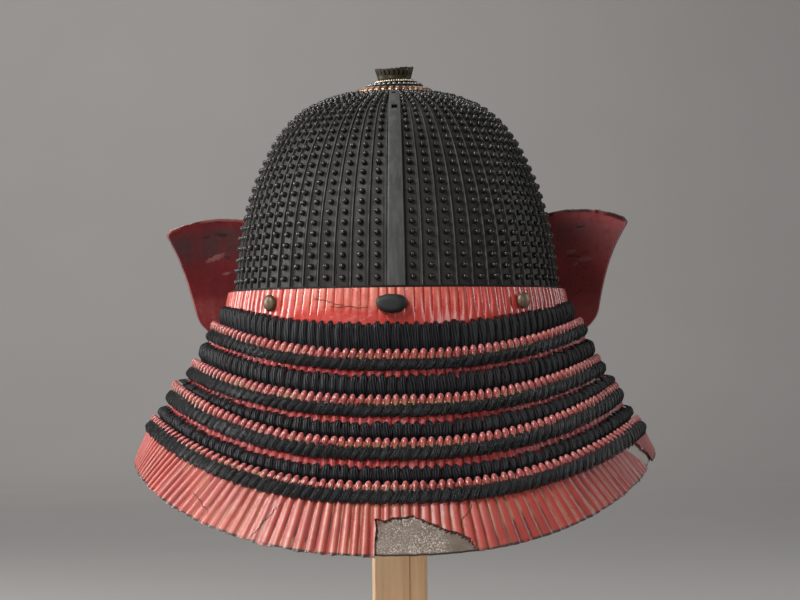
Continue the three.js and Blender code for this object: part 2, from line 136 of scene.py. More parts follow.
def copyMany(name, model, count, placeAt, tones=None):
    # one mesh of many copies of a small model; placeAt(copy numbers, model points) gives their places
    points = readVertices(model) / mm
    totals, corners = faceRows(model.data)
    which = np.repeat(np.arange(count), len(points))
    local = np.tile(points, (count, 1))
    placed = placeAt(which, local)
    mesh = bpy.data.meshes.new(name)
    mesh.vertices.add(len(placed))
    mesh.vertices.foreach_set("co", (placed * mm).astype(np.float32).ravel())
    allCorners = (corners[None, :] + np.arange(count)[:, None] * len(points)).ravel()
    allTotals = np.tile(totals, count)
    mesh.loops.add(len(allCorners))
    mesh.loops.foreach_set("vertex_index", allCorners.astype(np.int32))
    mesh.polygons.add(len(allTotals))
    mesh.polygons.foreach_set("loop_start", np.concatenate([[0], np.cumsum(allTotals)[:-1]]).astype(np.int32))
    mesh.update(calc_edges=True)
    piece = bpy.data.objects.new(name, mesh)
    bpy.context.scene.collection.objects.link(piece)
    paint(piece, "tone", dice.random(count)[which] if tones is None else tones[which])
    paint(piece, "along", local[:, 2])
    paint(piece, "across", local[:, 0])
    bpy.data.objects.remove(model)
    smooth(piece, 60)
    return piece


def joinPieces(name, pieces):
    focusOn(pieces[0])
    for piece in pieces[1:]:
        piece.select_set(True)
    bpy.ops.object.join()
    joined = bpy.context.object
    joined.name = joined.data.name = name
    return joined


def finishPiece(piece, material, slot, *nodes):
    if material is not None:
        piece.data.materials.clear()
        piece.data.materials.append(material)
    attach(piece, "root")
    if nodes:
        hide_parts(*nodes)
    return piece


# Shapes that the whole helmet shares. Angles run from the back, towards the right side.

def ellipsePoint(reachX, reachY, angle, level, out=0.0):
    nx, ny = np.sin(angle) / reachX, -np.cos(angle) / reachY
    size = np.hypot(nx, ny)
    x = reachX * np.sin(angle) + nx / size * out
    y = -reachY * np.cos(angle) + ny / size * out
    return np.stack(np.broadcast_arrays(x, y, rim + level), axis=-1)


def arcTable(reachX, reachY, start, end, fineness=4000):
    # angles and the lengths along the ellipse up to them
    angles = np.linspace(start, end, fineness + 1)
    middle = (angles[1:] + angles[:-1]) / 2
    pieces = np.hypot(reachX * np.cos(middle), reachY * np.sin(middle)) * np.diff(angles)
    return angles, np.concatenate([[0], np.cumsum(pieces)])


def angleAtArc(table, length):
    return np.interp(length, table[1], table[0])


def wobble(seed, count, smoothness=1):
    # gentle random numbers about 0, the same on every run
    values = np.random.default_rng(seed).normal(size=count)
    for _ in range(smoothness):
        values = (np.roll(values, 1) + 2 * values + np.roll(values, -1)) / 4
    return values


def waves(seed, t, lowest, highest, count=6):
    # a smooth random line along t, made of a few sine waves
    source = np.random.default_rng(seed)
    total = np.zeros_like(t, dtype=float)
    for _ in range(count):
        total += np.sin(t * source.uniform(lowest, highest) * 2 * math.pi + source.uniform(0, 2 * math.pi))
    return total / math.sqrt(count)


def pathLengths(path):
    # the length along a line of corners up to each corner
    return np.concatenate([[0], np.cumsum(np.linalg.norm(np.diff(path, axis=0), axis=1))])


def alongSection(section, share):
    # the section's columns at a share of the way through its rows
    place = share * (len(section) - 1)
    return [np.interp(place, np.arange(len(section)), column) for column in section.T]


def ease(share):
    # from 0 to 1 with a gentle start and end
    return share * share * (3 - 2 * share)


# Materials

def newMaterial(name):
    material = bpy.data.materials.new(name)
    material.use_nodes = True
    shader = material.node_tree.nodes["Principled BSDF"]
    return material, Nodes(material.node_tree), shader


class Nodes:
    # short ways to add and join a material's nodes
    def __init__(self, tree):
        self.tree = tree

    def add(self, kind, settings=None, **inputs):
        node = self.tree.nodes.new(kind)
        for key, value in (settings or {}).items():
            setattr(node, key, value)
        for key, value in inputs.items():
            self.put(node, key, value)
        return node

    def put(self, node, key, value):
        socket = node.inputs[int(key[1:])] if key[0] == "i" and key[1:].isdigit() else node.inputs[key]
        if isinstance(value, bpy.types.NodeSocket):
            self.tree.links.new(value, socket)
        else:
            socket.default_value = value

    def link(self, fromSocket, toSocket):
        self.tree.links.new(fromSocket, toSocket)

    def place(self, scale=(1, 1, 1)):
        coordinates = self.add("ShaderNodeTexCoord")
        mapping = self.add("ShaderNodeMapping", Vector=coordinates.outputs["Object"])
        mapping.inputs["Scale"].default_value = scale
        return mapping.outputs["Vector"]

    def noise(self, place, scale, detail=4.0, roughness=0.55, distortion=0.0):
        node = self.add("ShaderNodeTexNoise", Vector=place, Scale=scale, Detail=detail, Roughness=roughness,
                        Distortion=distortion)
        return node.outputs["Fac"]

    def band(self, value, low, high, toLow=0.0, toHigh=1.0):
        node = self.add("ShaderNodeMapRange", {"interpolation_type": "SMOOTHSTEP"}, i0=value, i1=low, i2=high,
                        i3=toLow, i4=toHigh)
        return node.outputs[0]

    def mix(self, share, first, second):
        node = self.add("ShaderNodeMix", {"data_type": "RGBA"})
        self.put(node, "i0", share)
        self.put(node, "i6", first)
        self.put(node, "i7", second)
        return node.outputs[2]

    def math(self, operation, first, second=0.0):
        return self.add("ShaderNodeMath", {"operation": operation}, i0=first, i1=second).outputs[0]

    def attribute(self, name):
        return self.add("ShaderNodeAttribute", {"attribute_name": name}).outputs["Fac"]

    def bump(self, height, distance, strength=1.0, normal=None):
        node = self.add("ShaderNodeBump", Height=height, Distance=distance, Strength=strength)
        if normal is not None:
            self.put(node, "Normal", normal)
        return node.outputs["Normal"]

    def group(self, tree, **inputs):
        node = self.tree.nodes.new("ShaderNodeGroup")
        node.node_tree = tree
        for key, value in inputs.items():
            self.put(node, key, value)
        return node


def rgb(red, green, blue):
    return (red, green, blue, 1.0)


def makeGroup(name, inputs, outputs, build):
    tree = bpy.data.node_groups.new(name, "ShaderNodeTree")
    for label, default in inputs.items():
        kind = "NodeSocketFloat"
        if isinstance(default, tuple):
            kind = "NodeSocketColor" if len(default) == 4 else "NodeSocketVector"
        tree.interface.new_socket(label, in_out="INPUT", socket_type=kind).default_value = default
    for label, kind in outputs.items():
        tree.interface.new_socket(label, in_out="OUTPUT", socket_type=kind)
    entry = tree.nodes.new("NodeGroupInput")
    result = tree.nodes.new("NodeGroupOutput")
    build(Nodes(tree), entry, result)
    return tree


def buildSpeckle(nodes, entry, result):
    # Dust and small stains: a colour with soft clouds and fine grains of another one in it
    place = nodes.place()
    cloudMask = nodes.band(nodes.noise(place, 45.0, 5.0), 0.42, 0.68)
    grainMask = nodes.band(nodes.noise(place, 900.0, 2.0), 0.52, 0.72)
    both = nodes.math("MULTIPLY", nodes.math("ADD", cloudMask, nodes.math("MULTIPLY", grainMask, 0.5)),
                      entry.outputs["Amount"])
    clamped = nodes.add("ShaderNodeClamp", Value=both).outputs[0]
    nodes.link(nodes.mix(clamped, entry.outputs["Base"], entry.outputs["Stain"]), result.inputs["Color"])


speckle = makeGroup("speckle", {"Base": (0.5, 0.5, 0.5, 1), "Stain": (0.2, 0.2, 0.2, 1), "Amount": 0.5},
                    {"Color": "NodeSocketColor"}, buildSpeckle)


def buildUneven(nodes, entry, result):
    # Roughness that varies from place to place, and a surface with small pits
    place = nodes.place()
    cloud = nodes.noise(place, 150.0, 5.0)
    low = nodes.math("SUBTRACT", entry.outputs["Roughness"], 0.08)
    high = nodes.math("ADD", entry.outputs["Roughness"], 0.11)
    nodes.link(nodes.band(cloud, 0.3, 0.7, low, high), result.inputs["Roughness"])
    pits = nodes.noise(place, 750.0, 4.0, 0.65)
    nodes.link(nodes.bump(pits, entry.outputs["Depth"], 0.6), result.inputs["Normal"])


uneven = makeGroup("unevenSurface", {"Roughness": 0.4, "Depth": 0.0001},
                   {"Roughness": "NodeSocketFloat", "Normal": "NodeSocketVector"}, buildUneven)


def makeIron(name, look):
    material, nodes, shader = newMaterial(name)
    stained = nodes.group(speckle, Base=look["base"], Stain=look["stain"], Amount=look["stainAmount"])
    streaks = nodes.noise(nodes.place((1, 1, 0.08)), 260.0, 4.0)
    color = nodes.mix(nodes.band(streaks, 0.4, 0.75, 0.0, look["streaks"]), stained.outputs["Color"],
                      look["streakColor"])
    rubbed = nodes.math("MULTIPLY", nodes.band(nodes.attribute("ridge"), 0.7, 1.0),
                        nodes.band(nodes.noise(nodes.place(), 90.0, 4.0), 0.35, 0.65, 0.3, 1.0))
    nodes.put(shader, "Base Color", nodes.mix(rubbed, color, look["rubbed"]))
    shader.inputs["Metallic"].default_value = look["metal"]
    shader.inputs["Specular IOR Level"].default_value = look["gloss"]
    surface = nodes.group(uneven, Roughness=look["roughness"], Depth=look["pits"] * mm)
    nodes.put(shader, "Roughness", surface.outputs["Roughness"])
    nodes.put(shader, "Normal", surface.outputs["Normal"])
    return material


bowlIron = makeIron("bowlIron", {
    "base": rgb(0.020, 0.0193, 0.0173), "stain": rgb(0.031, 0.027, 0.023), "stainAmount": 0.5,
    "streaks": 0.5, "streakColor": rgb(0.030, 0.029, 0.028), "metal": 0.1, "roughness": 0.55, "pits": 0.12,
    "gloss": 0.25, "rubbed": rgb(0.085, 0.083, 0.078),
})
studIron = makeIron("studIron", {
    "base": rgb(0.0075, 0.0073, 0.0070), "stain": rgb(0.014, 0.012, 0.011), "stainAmount": 0.4,
    "streaks": 0.0, "streakColor": rgb(0.03, 0.03, 0.03), "metal": 0.0, "roughness": 0.25, "pits": 0.05,
    "gloss": 0.55, "rubbed": rgb(0.02, 0.02, 0.02),
})
plateIron = makeIron("plateIron", {
    "base": rgb(0.052, 0.054, 0.054), "stain": rgb(0.034, 0.034, 0.034), "stainAmount": 0.6,
    "streaks": 0.7, "streakColor": rgb(0.092, 0.092, 0.090), "metal": 0.2, "roughness": 0.55, "pits": 0.10,
    "gloss": 0.25, "rubbed": rgb(0.085, 0.085, 0.083),
})
# near-black iron; on the waist band it also stands in for the shadow line between the bowl's plates and the
# top lame
dullIron = makeIron("dullIron", {
    "base": rgb(0.0045, 0.0042, 0.0040), "stain": rgb(0.010, 0.009, 0.008), "stainAmount": 0.6,
    "streaks": 0.2, "streakColor": rgb(0.012, 0.011, 0.010), "metal": 0.0, "roughness": 0.65, "pits": 0.15,
    "gloss": 0.2, "rubbed": rgb(0.012, 0.012, 0.012),
})


def buildLacquerColor(nodes, entry, result):
    # Vermilion over black: paler on worn ridges and painted highlights, brown dirt in the grooves, bare at
    # the edge
    get = entry.outputs
    place = nodes.place()
    ridge = nodes.attribute("ridge")
    color = nodes.mix(nodes.band(nodes.noise(place, 28.0, 5.0), 0.3, 0.7), get["Base"], get["Second"])
    # paler where the ridge attribute is high: worn, and on the lames, heads and flaps also painted highlight
    # and sheen
    worn = nodes.math("MULTIPLY", nodes.band(ridge, 0.5, 1.0),
                      nodes.band(nodes.noise(place, 75.0, 4.0), 0.35, 0.65,
                                 nodes.math("MULTIPLY", get["Wear"], 0.45), get["Wear"]))
    color = nodes.mix(worn, color, get["Worn color"])
    dirt = nodes.math("MULTIPLY", nodes.band(ridge, 0.5, 0.0),
                      nodes.band(nodes.noise(place, 55.0, 4.0), 0.3, 0.7,
                                 nodes.math("MULTIPLY", get["Dirt"], 0.4), get["Dirt"]))
    dirtColor = nodes.mix(nodes.band(nodes.noise(place, 36.0, 2.0), 0.45, 0.6),
                          get["Dirt color"], get["Ochre"])
    color = nodes.mix(dirt, color, dirtColor)
    specks = nodes.band(nodes.noise(place, 520.0, 3.0, 0.6), 0.64, 0.73)
    color = nodes.mix(nodes.math("MULTIPLY", specks, get["Specks"]), color, get["Dirt color"])
    edge = nodes.math("MULTIPLY", nodes.band(nodes.attribute("edge"), 0.3, 0.9),
                      nodes.band(nodes.noise(place, 140.0, 4.0), 0.38, 0.5))
    nodes.link(nodes.mix(edge, color, get["Edge color"]), result.inputs["Color"])


lacquerColor = makeGroup("lacquerColor", {
    "Base": rgb(0.4, 0.04, 0.03), "Second": rgb(0.3, 0.03, 0.02),
    "Worn color": rgb(0.5, 0.1, 0.1), "Wear": 0.7,
    "Dirt color": rgb(0.1, 0.02, 0.01), "Ochre": rgb(0.2, 0.1, 0.04), "Dirt": 0.8, "Specks": 0.5,
    "Edge color": rgb(0.05, 0.02, 0.01),
}, {"Color": "NodeSocketColor"}, buildLacquerColor)


def buildLacquerRelief(nodes, entry, result):
    # Slow ripples, brush marks and a net of fine cracks
    get = entry.outputs
    place = nodes.place()
    fine = nodes.noise(place, 260.0, 4.0)
    nodes.link(nodes.band(fine, 0.25, 0.75, nodes.math("SUBTRACT", get["Roughness"], 0.06),
                          nodes.math("ADD", get["Roughness"], 0.12)), result.inputs["Roughness"])
    crazing = nodes.add("ShaderNodeTexVoronoi", {"feature": "DISTANCE_TO_EDGE"}, Vector=place, Scale=120.0)
    crack = nodes.band(crazing.outputs["Distance"], 0.0, 0.03, 1.0, 0.0)
    normal = nodes.bump(nodes.noise(place, 90.0, 3.0), get["Ripples"], 0.5)
    normal = nodes.bump(fine, 0.05 * mm, 0.5, normal)
    nodes.link(nodes.bump(crack, nodes.math("MULTIPLY", get["Crazing"], -1.0), 0.5, normal),
               result.inputs["Normal"])


lacquerRelief = makeGroup("lacquerRelief", {"Roughness": 0.3, "Ripples": 0.0003, "Crazing": 0.00003},
                          {"Roughness": "NodeSocketFloat", "Normal": "NodeSocketVector"}, buildLacquerRelief)


def makeLacquer(name, look):
    material, nodes, shader = newMaterial(name)
    layered = nodes.group(lacquerColor, **{
        "Base": look["base"], "Second": look["second"], "Worn color": look["wornColor"], "Wear": look["wear"],
        "Dirt color": look["dirtColor"], "Ochre": look["ochre"], "Dirt": look["dirt"],
        "Specks": look["specks"], "Edge color": look["edgeColor"],
    })
    nodes.put(shader, "Base Color", layered.outputs["Color"])
    relief = nodes.group(lacquerRelief, Roughness=look["roughness"], Ripples=look["ripples"] * mm,
                         Crazing=look["crazing"] * mm)
    nodes.put(shader, "Roughness", relief.outputs["Roughness"])
    nodes.put(shader, "Normal", relief.outputs["Normal"])
    shader.inputs["Coat Weight"].default_value = look["coat"]
    shader.inputs["Coat Roughness"].default_value = look["coatRoughness"]
    return material


lacquer = makeLacquer("redLacquer", {
    "base": rgb(0.37, 0.036, 0.026), "second": rgb(0.28, 0.025, 0.019), "wornColor": rgb(0.53, 0.190, 0.142),
    "wear": 0.95, "dirt": 1.15, "dirtColor": rgb(0.11, 0.018, 0.010), "ochre": rgb(0.31, 0.155, 0.075),
    "edgeColor": rgb(0.030, 0.016, 0.012), "specks": 0.8, "roughness": 0.46, "coat": 0.22,
    "coatRoughness": 0.24, "ripples": 0.25, "crazing": 0.03,
})
wallLacquer = makeLacquer("wallLacquer", {
    "base": rgb(0.36, 0.020, 0.020), "second": rgb(0.28, 0.016, 0.017), "wornColor": rgb(0.40, 0.040, 0.034),
    "wear": 0.6, "dirt": 0.8, "dirtColor": rgb(0.09, 0.010, 0.009), "ochre": rgb(0.15, 0.040, 0.020),
    "edgeColor": rgb(0.030, 0.016, 0.012), "specks": 0.5, "roughness": 0.45, "coat": 0.15,
    "coatRoughness": 0.2, "ripples": 0.25, "crazing": 0.02,
})
# The two ear flaps are one lacquer, painted as a lit and a shaded copy: the right one, in the bowl's shadow,
# is painted lighter to make up for it, and its lip dark where the left one's is pale
flapLacquer = makeLacquer("flapLacquer", {
    "base": rgb(0.17, 0.019, 0.023), "second": rgb(0.12, 0.018, 0.021), "wornColor": rgb(0.075, 0.034, 0.036),
    "wear": 0.9, "dirt": 0.0, "dirtColor": rgb(0.016, 0.006, 0.005), "ochre": rgb(0.05, 0.02, 0.015),
    "edgeColor": rgb(0.30, 0.105, 0.09), "specks": 0.3, "roughness": 0.24, "coat": 0.9, "coatRoughness": 0.10,
    "ripples": 0.6, "crazing": 0.0,
})
rightFlapLacquer = makeLacquer("rightFlapLacquer", {
    "base": rgb(0.23, 0.040, 0.043), "second": rgb(0.18, 0.036, 0.039), "wornColor": rgb(0.13, 0.040, 0.040),
    "wear": 0.8, "dirt": 0.0, "dirtColor": rgb(0.016, 0.006, 0.005), "ochre": rgb(0.05, 0.02, 0.015),
    "edgeColor": rgb(0.045, 0.012, 0.012), "specks": 0.3, "roughness": 0.30, "coat": 0.6,
    "coatRoughness": 0.14, "ripples": 0.6, "crazing": 0.0,
})
paleFlake = makeLacquer("paleFlake", {
    "base": rgb(0.22, 0.075, 0.070), "second": rgb(0.16, 0.045, 0.045), "wornColor": rgb(0.24, 0.095, 0.085),
    "wear": 0.7, "dirt": 0.0, "dirtColor": rgb(0.016, 0.006, 0.005), "ochre": rgb(0.05, 0.02, 0.015),
    "edgeColor": rgb(0.06, 0.02, 0.02), "specks": 0.3, "roughness": 0.42, "coat": 0.2, "coatRoughness": 0.2,
    "ripples": 0.4, "crazing": 0.0,
})
topLacquer = makeLacquer("topLacquer", {
    "base": rgb(0.46, 0.036, 0.025), "second": rgb(0.37, 0.028, 0.021), "wornColor": rgb(0.62, 0.19, 0.135),
    "wear": 0.9, "dirt": 0.75, "dirtColor": rgb(0.19, 0.010, 0.008), "ochre": rgb(0.24, 0.045, 0.02),
    "edgeColor": rgb(0.045, 0.022, 0.016), "specks": 0.35, "roughness": 0.28, "coat": 0.6,
    "coatRoughness": 0.14, "ripples": 0.3, "crazing": 0.08,
})
headLacquer = makeLacquer("headLacquer", {
    "base": rgb(0.34, 0.046, 0.040), "second": rgb(0.28, 0.036, 0.034), "wornColor": rgb(0.42, 0.150, 0.140),
    "wear": 0.9, "dirt": 1.0, "dirtColor": rgb(0.11, 0.026, 0.016), "ochre": rgb(0.22, 0.125, 0.050),
    "edgeColor": rgb(0.05, 0.02, 0.015), "specks": 0.5, "roughness": 0.34, "coat": 0.6, "coatRoughness": 0.12,
    "ripples": 0.2, "crazing": 0.02,
})


# dark for the cracks, and for the painted shadow strip along the chip
def makeCrackAndShadowDark():
    material, nodes, shader = newMaterial("crackAndShadowDark")
    cloud = nodes.noise(nodes.place(), 400.0, 3.0)
    nodes.put(shader, "Base Color", nodes.mix(nodes.band(cloud, 0.35, 0.65), rgb(0.012, 0.006, 0.005),
                                              rgb(0.05, 0.012, 0.009)))
    nodes.put(shader, "Roughness", nodes.band(cloud, 0.3, 0.7, 0.6, 0.85))
    return material


crackAndShadowDark = makeCrackAndShadowDark()


def buildStrands(nodes, entry, result):
    # Fine strands along a silk cord, with pale loose fibres that also stand in for glints on the strands'
    # crests
    # across and along are painted on the cords, in millimetres
    get = entry.outputs
    place = nodes.place()
    across, along = nodes.attribute("across"), nodes.attribute("along")
    shift = nodes.math("MULTIPLY", nodes.noise(place, 160.0, 3.0), 2.4)
    slant = nodes.math("MULTIPLY", along, get["Slant"])
    phase = nodes.math("ADD", nodes.math("ADD", nodes.math("MULTIPLY", across, get["Strands"]), slant), shift)
    strand = nodes.math("ABSOLUTE", nodes.math("SINE", phase))
    # pale flecks on the strands' crests: loose fibres, and painted glints
    fluff = nodes.math("MULTIPLY", nodes.band(nodes.noise(place, 1300.0, 3.0, 0.7), 0.58, 0.72),
                       nodes.math("MULTIPLY", get["Fluff"], nodes.band(strand, 0.3, 0.9)))
    normal = nodes.bump(strand, get["Depth"], 0.9)
    nodes.link(strand, result.inputs["Strand"])
    nodes.link(fluff, result.inputs["Fluff"])
    nodes.link(nodes.bump(nodes.noise(place, 2200.0, 2.0, 0.6), 0.16 * mm, 0.8, normal),
               result.inputs["Normal"])


strands = makeGroup("silkStrands", {"Strands": 3.0, "Slant": 0.5, "Fluff": 0.8, "Depth": 0.001},
                    {"Strand": "NodeSocketFloat", "Fluff": "NodeSocketFloat", "Normal": "NodeSocketVector"},
                    buildStrands)


def makeSilk(name, look):
    material, nodes, shader = newMaterial(name)
    cord = nodes.group(strands, Strands=look["strands"], Slant=look["slant"], Fluff=look["fluff"],
                       Depth=look["depth"] * mm)
    color = nodes.mix(nodes.band(nodes.attribute("tone"), 0.0, 1.0), look["base"], look["second"])
    # painted shade: darker in the grooves between the strands
    color = nodes.mix(nodes.band(cord.outputs["Strand"], 0.0, 0.55, 0.8, 0.0), color, look["deep"])
    # pale flecks: loose fibres, and painted glints on the strands
    nodes.put(shader, "Base Color", nodes.mix(cord.outputs["Fluff"], color, look["fluffGlintColor"]))
    nodes.put(shader, "Roughness", nodes.band(cord.outputs["Fluff"], 0.0, 1.0, look["roughness"], 0.9))
    nodes.put(shader, "Normal", cord.outputs["Normal"])
    shader.inputs["Specular IOR Level"].default_value = look["gloss"]
    return material


silk = makeSilk("laceSilk", {
    "base": rgb(0.0040, 0.0042, 0.0070), "second": rgb(0.009, 0.0088, 0.0125),
    "deep": rgb(0.0008, 0.0008, 0.0014),
    "fluffGlintColor": rgb(0.050, 0.052, 0.056), "strands": 2.6, "slant": 0.3, "fluff": 0.9,
    "depth": 1.2, "gloss": 0.30, "roughness": 0.58,
})
braidSilk = makeSilk("braidSilk", {
    "base": rgb(0.0024, 0.0032, 0.0050), "second": rgb(0.0090, 0.0112, 0.0150),
    "deep": rgb(0.0010, 0.0010, 0.0016),
    "fluffGlintColor": rgb(0.090, 0.102, 0.114), "strands": 7.0, "slant": 0.0, "fluff": 0.9,
    "depth": 0.4, "gloss": 0.55, "roughness": 0.42,
})


def buildPolish(nodes, entry, result):
    # Bright where a ridge is rubbed, dark in the grooves
    ridge = nodes.attribute("ridge")
    color = nodes.mix(nodes.math("MULTIPLY", nodes.band(ridge, 0.5, 1.0), entry.outputs["Polish"]),
                      entry.outputs["Color"], entry.outputs["Bright"])
    nodes.link(nodes.mix(nodes.band(ridge, 0.35, 0.0, 0.0, 0.9), color, entry.outputs["Deep"]),
               result.inputs["Color"])


polish = makeGroup("ridgePolish", {
    "Color": rgb(0.3, 0.2, 0.1), "Bright": rgb(0.6, 0.5, 0.3), "Deep": rgb(0.02, 0.01, 0.01), "Polish": 0.7,
}, {"Color": "NodeSocketColor"}, buildPolish)


def makeMetal(name, look):
    material, nodes, shader = newMaterial(name)
    stained = nodes.group(speckle, Base=look["base"], Stain=look["stain"], Amount=look["stainAmount"])
    polished = nodes.group(polish, Color=stained.outputs["Color"], Bright=look["bright"], Deep=look["deep"],
                           Polish=look["polish"])
    nodes.put(shader, "Base Color", polished.outputs["Color"])
    shader.inputs["Metallic"].default_value = look["metal"]
    surface = nodes.group(uneven, Roughness=look["roughness"], Depth=0.08 * mm)
    nodes.put(shader, "Roughness", surface.outputs["Roughness"])
    nodes.put(shader, "Normal", surface.outputs["Normal"])
    return material


copperMetal = makeMetal("crownCopper", {
    "base": rgb(0.24, 0.115, 0.070), "stain": rgb(0.08, 0.042, 0.030), "stainAmount": 0.7,
    "bright": rgb(0.44, 0.29, 0.205), "deep": rgb(0.014, 0.009, 0.008), "polish": 0.7, "metal": 0.8,
    "roughness": 0.32,
})
darkMetal = makeMetal("crownDark", {
    "base": rgb(0.040, 0.039, 0.036), "stain": rgb(0.022, 0.019, 0.016), "stainAmount": 0.5,
    "bright": rgb(0.30, 0.31, 0.31), "deep": rgb(0.008, 0.007, 0.006), "polish": 0.8, "metal": 0.8,
    "roughness": 0.30,
})
goldMetal = makeMetal("crownGold", {
    "base": rgb(0.36, 0.28, 0.17), "stain": rgb(0.10, 0.07, 0.035), "stainAmount": 0.5,
    "bright": rgb(0.74, 0.66, 0.50), "deep": rgb(0.03, 0.02, 0.01), "polish": 0.8, "metal": 0.85,
    "roughness": 0.30,
})
cupMetal = makeMetal("crownBrass", {
    "base": rgb(0.060, 0.052, 0.034), "stain": rgb(0.026, 0.020, 0.015), "stainAmount": 0.7,
    "bright": rgb(0.105, 0.088, 0.062), "deep": rgb(0.006, 0.005, 0.004), "polish": 0.7, "metal": 0.7,
    "roughness": 0.45,
})
rivetMetal = makeMetal("rivetBronze", {
    "base": rgb(0.17, 0.120, 0.080), "stain": rgb(0.06, 0.040, 0.027), "stainAmount": 0.8,
    "bright": rgb(0.23, 0.170, 0.115), "deep": rgb(0.03, 0.020, 0.013), "polish": 0.5, "metal": 0.7,
    "roughness": 0.42,
})
knobLacquer = makeMetal("knobLacquer", {
    "base": rgb(0.004, 0.0045, 0.005), "stain": rgb(0.009, 0.010, 0.011), "stainAmount": 0.5,
    "bright": rgb(0.006, 0.007, 0.008), "deep": rgb(0.003, 0.003, 0.003), "polish": 0.3, "metal": 0.0,
    "roughness": 0.58,
})


def makeBarePlate(name, look):
    # The plate under the broken coat: grey and brown, with chalky spots
    material, nodes, shader = newMaterial(name)
    place = nodes.place()
    cloud = nodes.noise(place, 70.0, 5.0, 0.6)
    color = nodes.mix(nodes.band(cloud, 0.35, 0.65), look["grey"], look["brown"])
    grains = nodes.noise(place, 950.0, 4.0, 0.7)
    patches = nodes.band(nodes.noise(place, 85.0, 3.0), 0.38, 0.62, 0.35, 1.0)
    chalk = nodes.math("MULTIPLY", nodes.math("MULTIPLY", nodes.band(grains, 0.47, 0.66), patches),
                       nodes.attribute("chalk"))
    color = nodes.mix(nodes.add("ShaderNodeClamp", Value=chalk).outputs[0], color, look["chalk"])
    rust = nodes.math("MULTIPLY", nodes.band(nodes.noise(place, 420.0, 4.0, 0.6), 0.60, 0.70),
                      nodes.band(nodes.noise(place, 60.0, 2.0), 0.45, 0.6))
    color = nodes.mix(rust, color, look["rust"])
    # the chip at the end is scraped white, scraps of coat cling to a corner and the rim is dark
    color = nodes.mix(nodes.band(nodes.attribute("chalk"), 1.4, 2.0, 0.0, 0.75), color, look["scraped"])
    scraps = nodes.math("MULTIPLY", nodes.attribute("scraps"),
                        nodes.band(nodes.noise(place, 480.0, 4.0), 0.40, 0.52))
    color = nodes.mix(scraps, color, look["scraps"])
    nodes.put(shader, "Base Color", nodes.mix(nodes.band(nodes.attribute("rim"), 0.6, 0.8),
                                              color, look["rim"]))
    nodes.put(shader, "Roughness", nodes.band(cloud, 0.3, 0.7, 0.5, 0.75))
    nodes.put(shader, "Normal", nodes.bump(grains, 0.2 * mm, 0.7))
    return material


barePlate = makeBarePlate("barePlate", {
    "grey": rgb(0.170, 0.135, 0.110), "brown": rgb(0.120, 0.090, 0.068), "chalk": rgb(0.60, 0.53, 0.46),
    "rust": rgb(0.16, 0.075, 0.035), "scraped": rgb(0.52, 0.47, 0.44), "scraps": rgb(0.11, 0.026, 0.015),
    "rim": rgb(0.022, 0.016, 0.013),
})


def buildGrain(nodes, entry, result):
    # Long soft bands and fine pores along the length of the wood
    get = entry.outputs
    coordinates = nodes.add("ShaderNodeTexCoord").outputs["Object"]
    stretched = nodes.add("ShaderNodeVectorMath", {"operation": "MULTIPLY"}, i0=coordinates,
                          i1=get["Stretch"])
    warp = nodes.noise(stretched.outputs[0], 9.0, 4.0, 0.6, 0.6)
    grain = nodes.math("SINE", nodes.math("MULTIPLY", warp, 70.0))
    fibres = nodes.noise(stretched.outputs[0], 420.0, 4.0, 0.7)
    color = nodes.mix(nodes.band(grain, -1.0, 1.0), get["Light"], get["Dark"])
    nodes.link(nodes.mix(nodes.band(fibres, 0.45, 0.75, 0.0, 0.5), color, get["Pore"]),
               result.inputs["Color"])
    nodes.link(nodes.band(fibres, 0.3, 0.7, 0.42, 0.6), result.inputs["Roughness"])
    nodes.link(nodes.bump(fibres, 0.12 * mm, 0.5), result.inputs["Normal"])


grain = makeGroup("woodGrain", {
    "Light": rgb(0.6, 0.4, 0.2), "Dark": rgb(0.5, 0.3, 0.1), "Pore": rgb(0.4, 0.2, 0.1),
    "Stretch": (1.0, 1.0, 0.05),
}, {"Color": "NodeSocketColor", "Roughness": "NodeSocketFloat", "Normal": "NodeSocketVector"}, buildGrain)


def makeWood(name, look):
    material, nodes, shader = newMaterial(name)
    wood = nodes.group(grain, Light=look["light"], Dark=look["dark"], Pore=look["pore"],
                       Stretch=look["stretch"])
    nodes.put(shader, "Base Color", wood.outputs["Color"])
    nodes.put(shader, "Roughness", wood.outputs["Roughness"])
    nodes.put(shader, "Normal", wood.outputs["Normal"])
    return material


woodColors = {"light": rgb(0.84, 0.60, 0.37), "dark": rgb(0.75, 0.51, 0.30), "pore": rgb(0.56, 0.36, 0.20)}
uprightWood = makeWood("uprightWood", {"stretch": (1, 1, 0.05), **woodColors})
flatWood = makeWood("flatWood", {"stretch": (0.05, 1, 1), **woodColors})
print("materials made")


def frameOn(pointAt, u, v, step=1e-3):
    # place, and directions to the right, up and outwards, on a surface
    spot = pointAt(u, v)
    right = pointAt(u + step, v) - pointAt(u - step, v)
    up = pointAt(u, v + step) - pointAt(u, v - step)
    right /= np.linalg.norm(right, axis=-1, keepdims=True)
    out = np.cross(right, up)
    out /= np.linalg.norm(out, axis=-1, keepdims=True)
    return spot, right, np.cross(out, right), out


def closestOnPath(points, path):
    # for each point, the nearest place on a line through the path's corners
    best = np.full(len(points), np.inf)
    nearest = np.zeros_like(points)
    for start, end in zip(path[:-1], path[1:]):
        way = end - start
        share = np.clip(((points - start) @ way) / (way @ way), 0, 1)
        spot = start + share[:, None] * way
        gap = np.linalg.norm(points - spot, axis=1)
        closer = gap < best
        best[closer] = gap[closer]
        nearest[closer] = spot[closer]
    return best, nearest


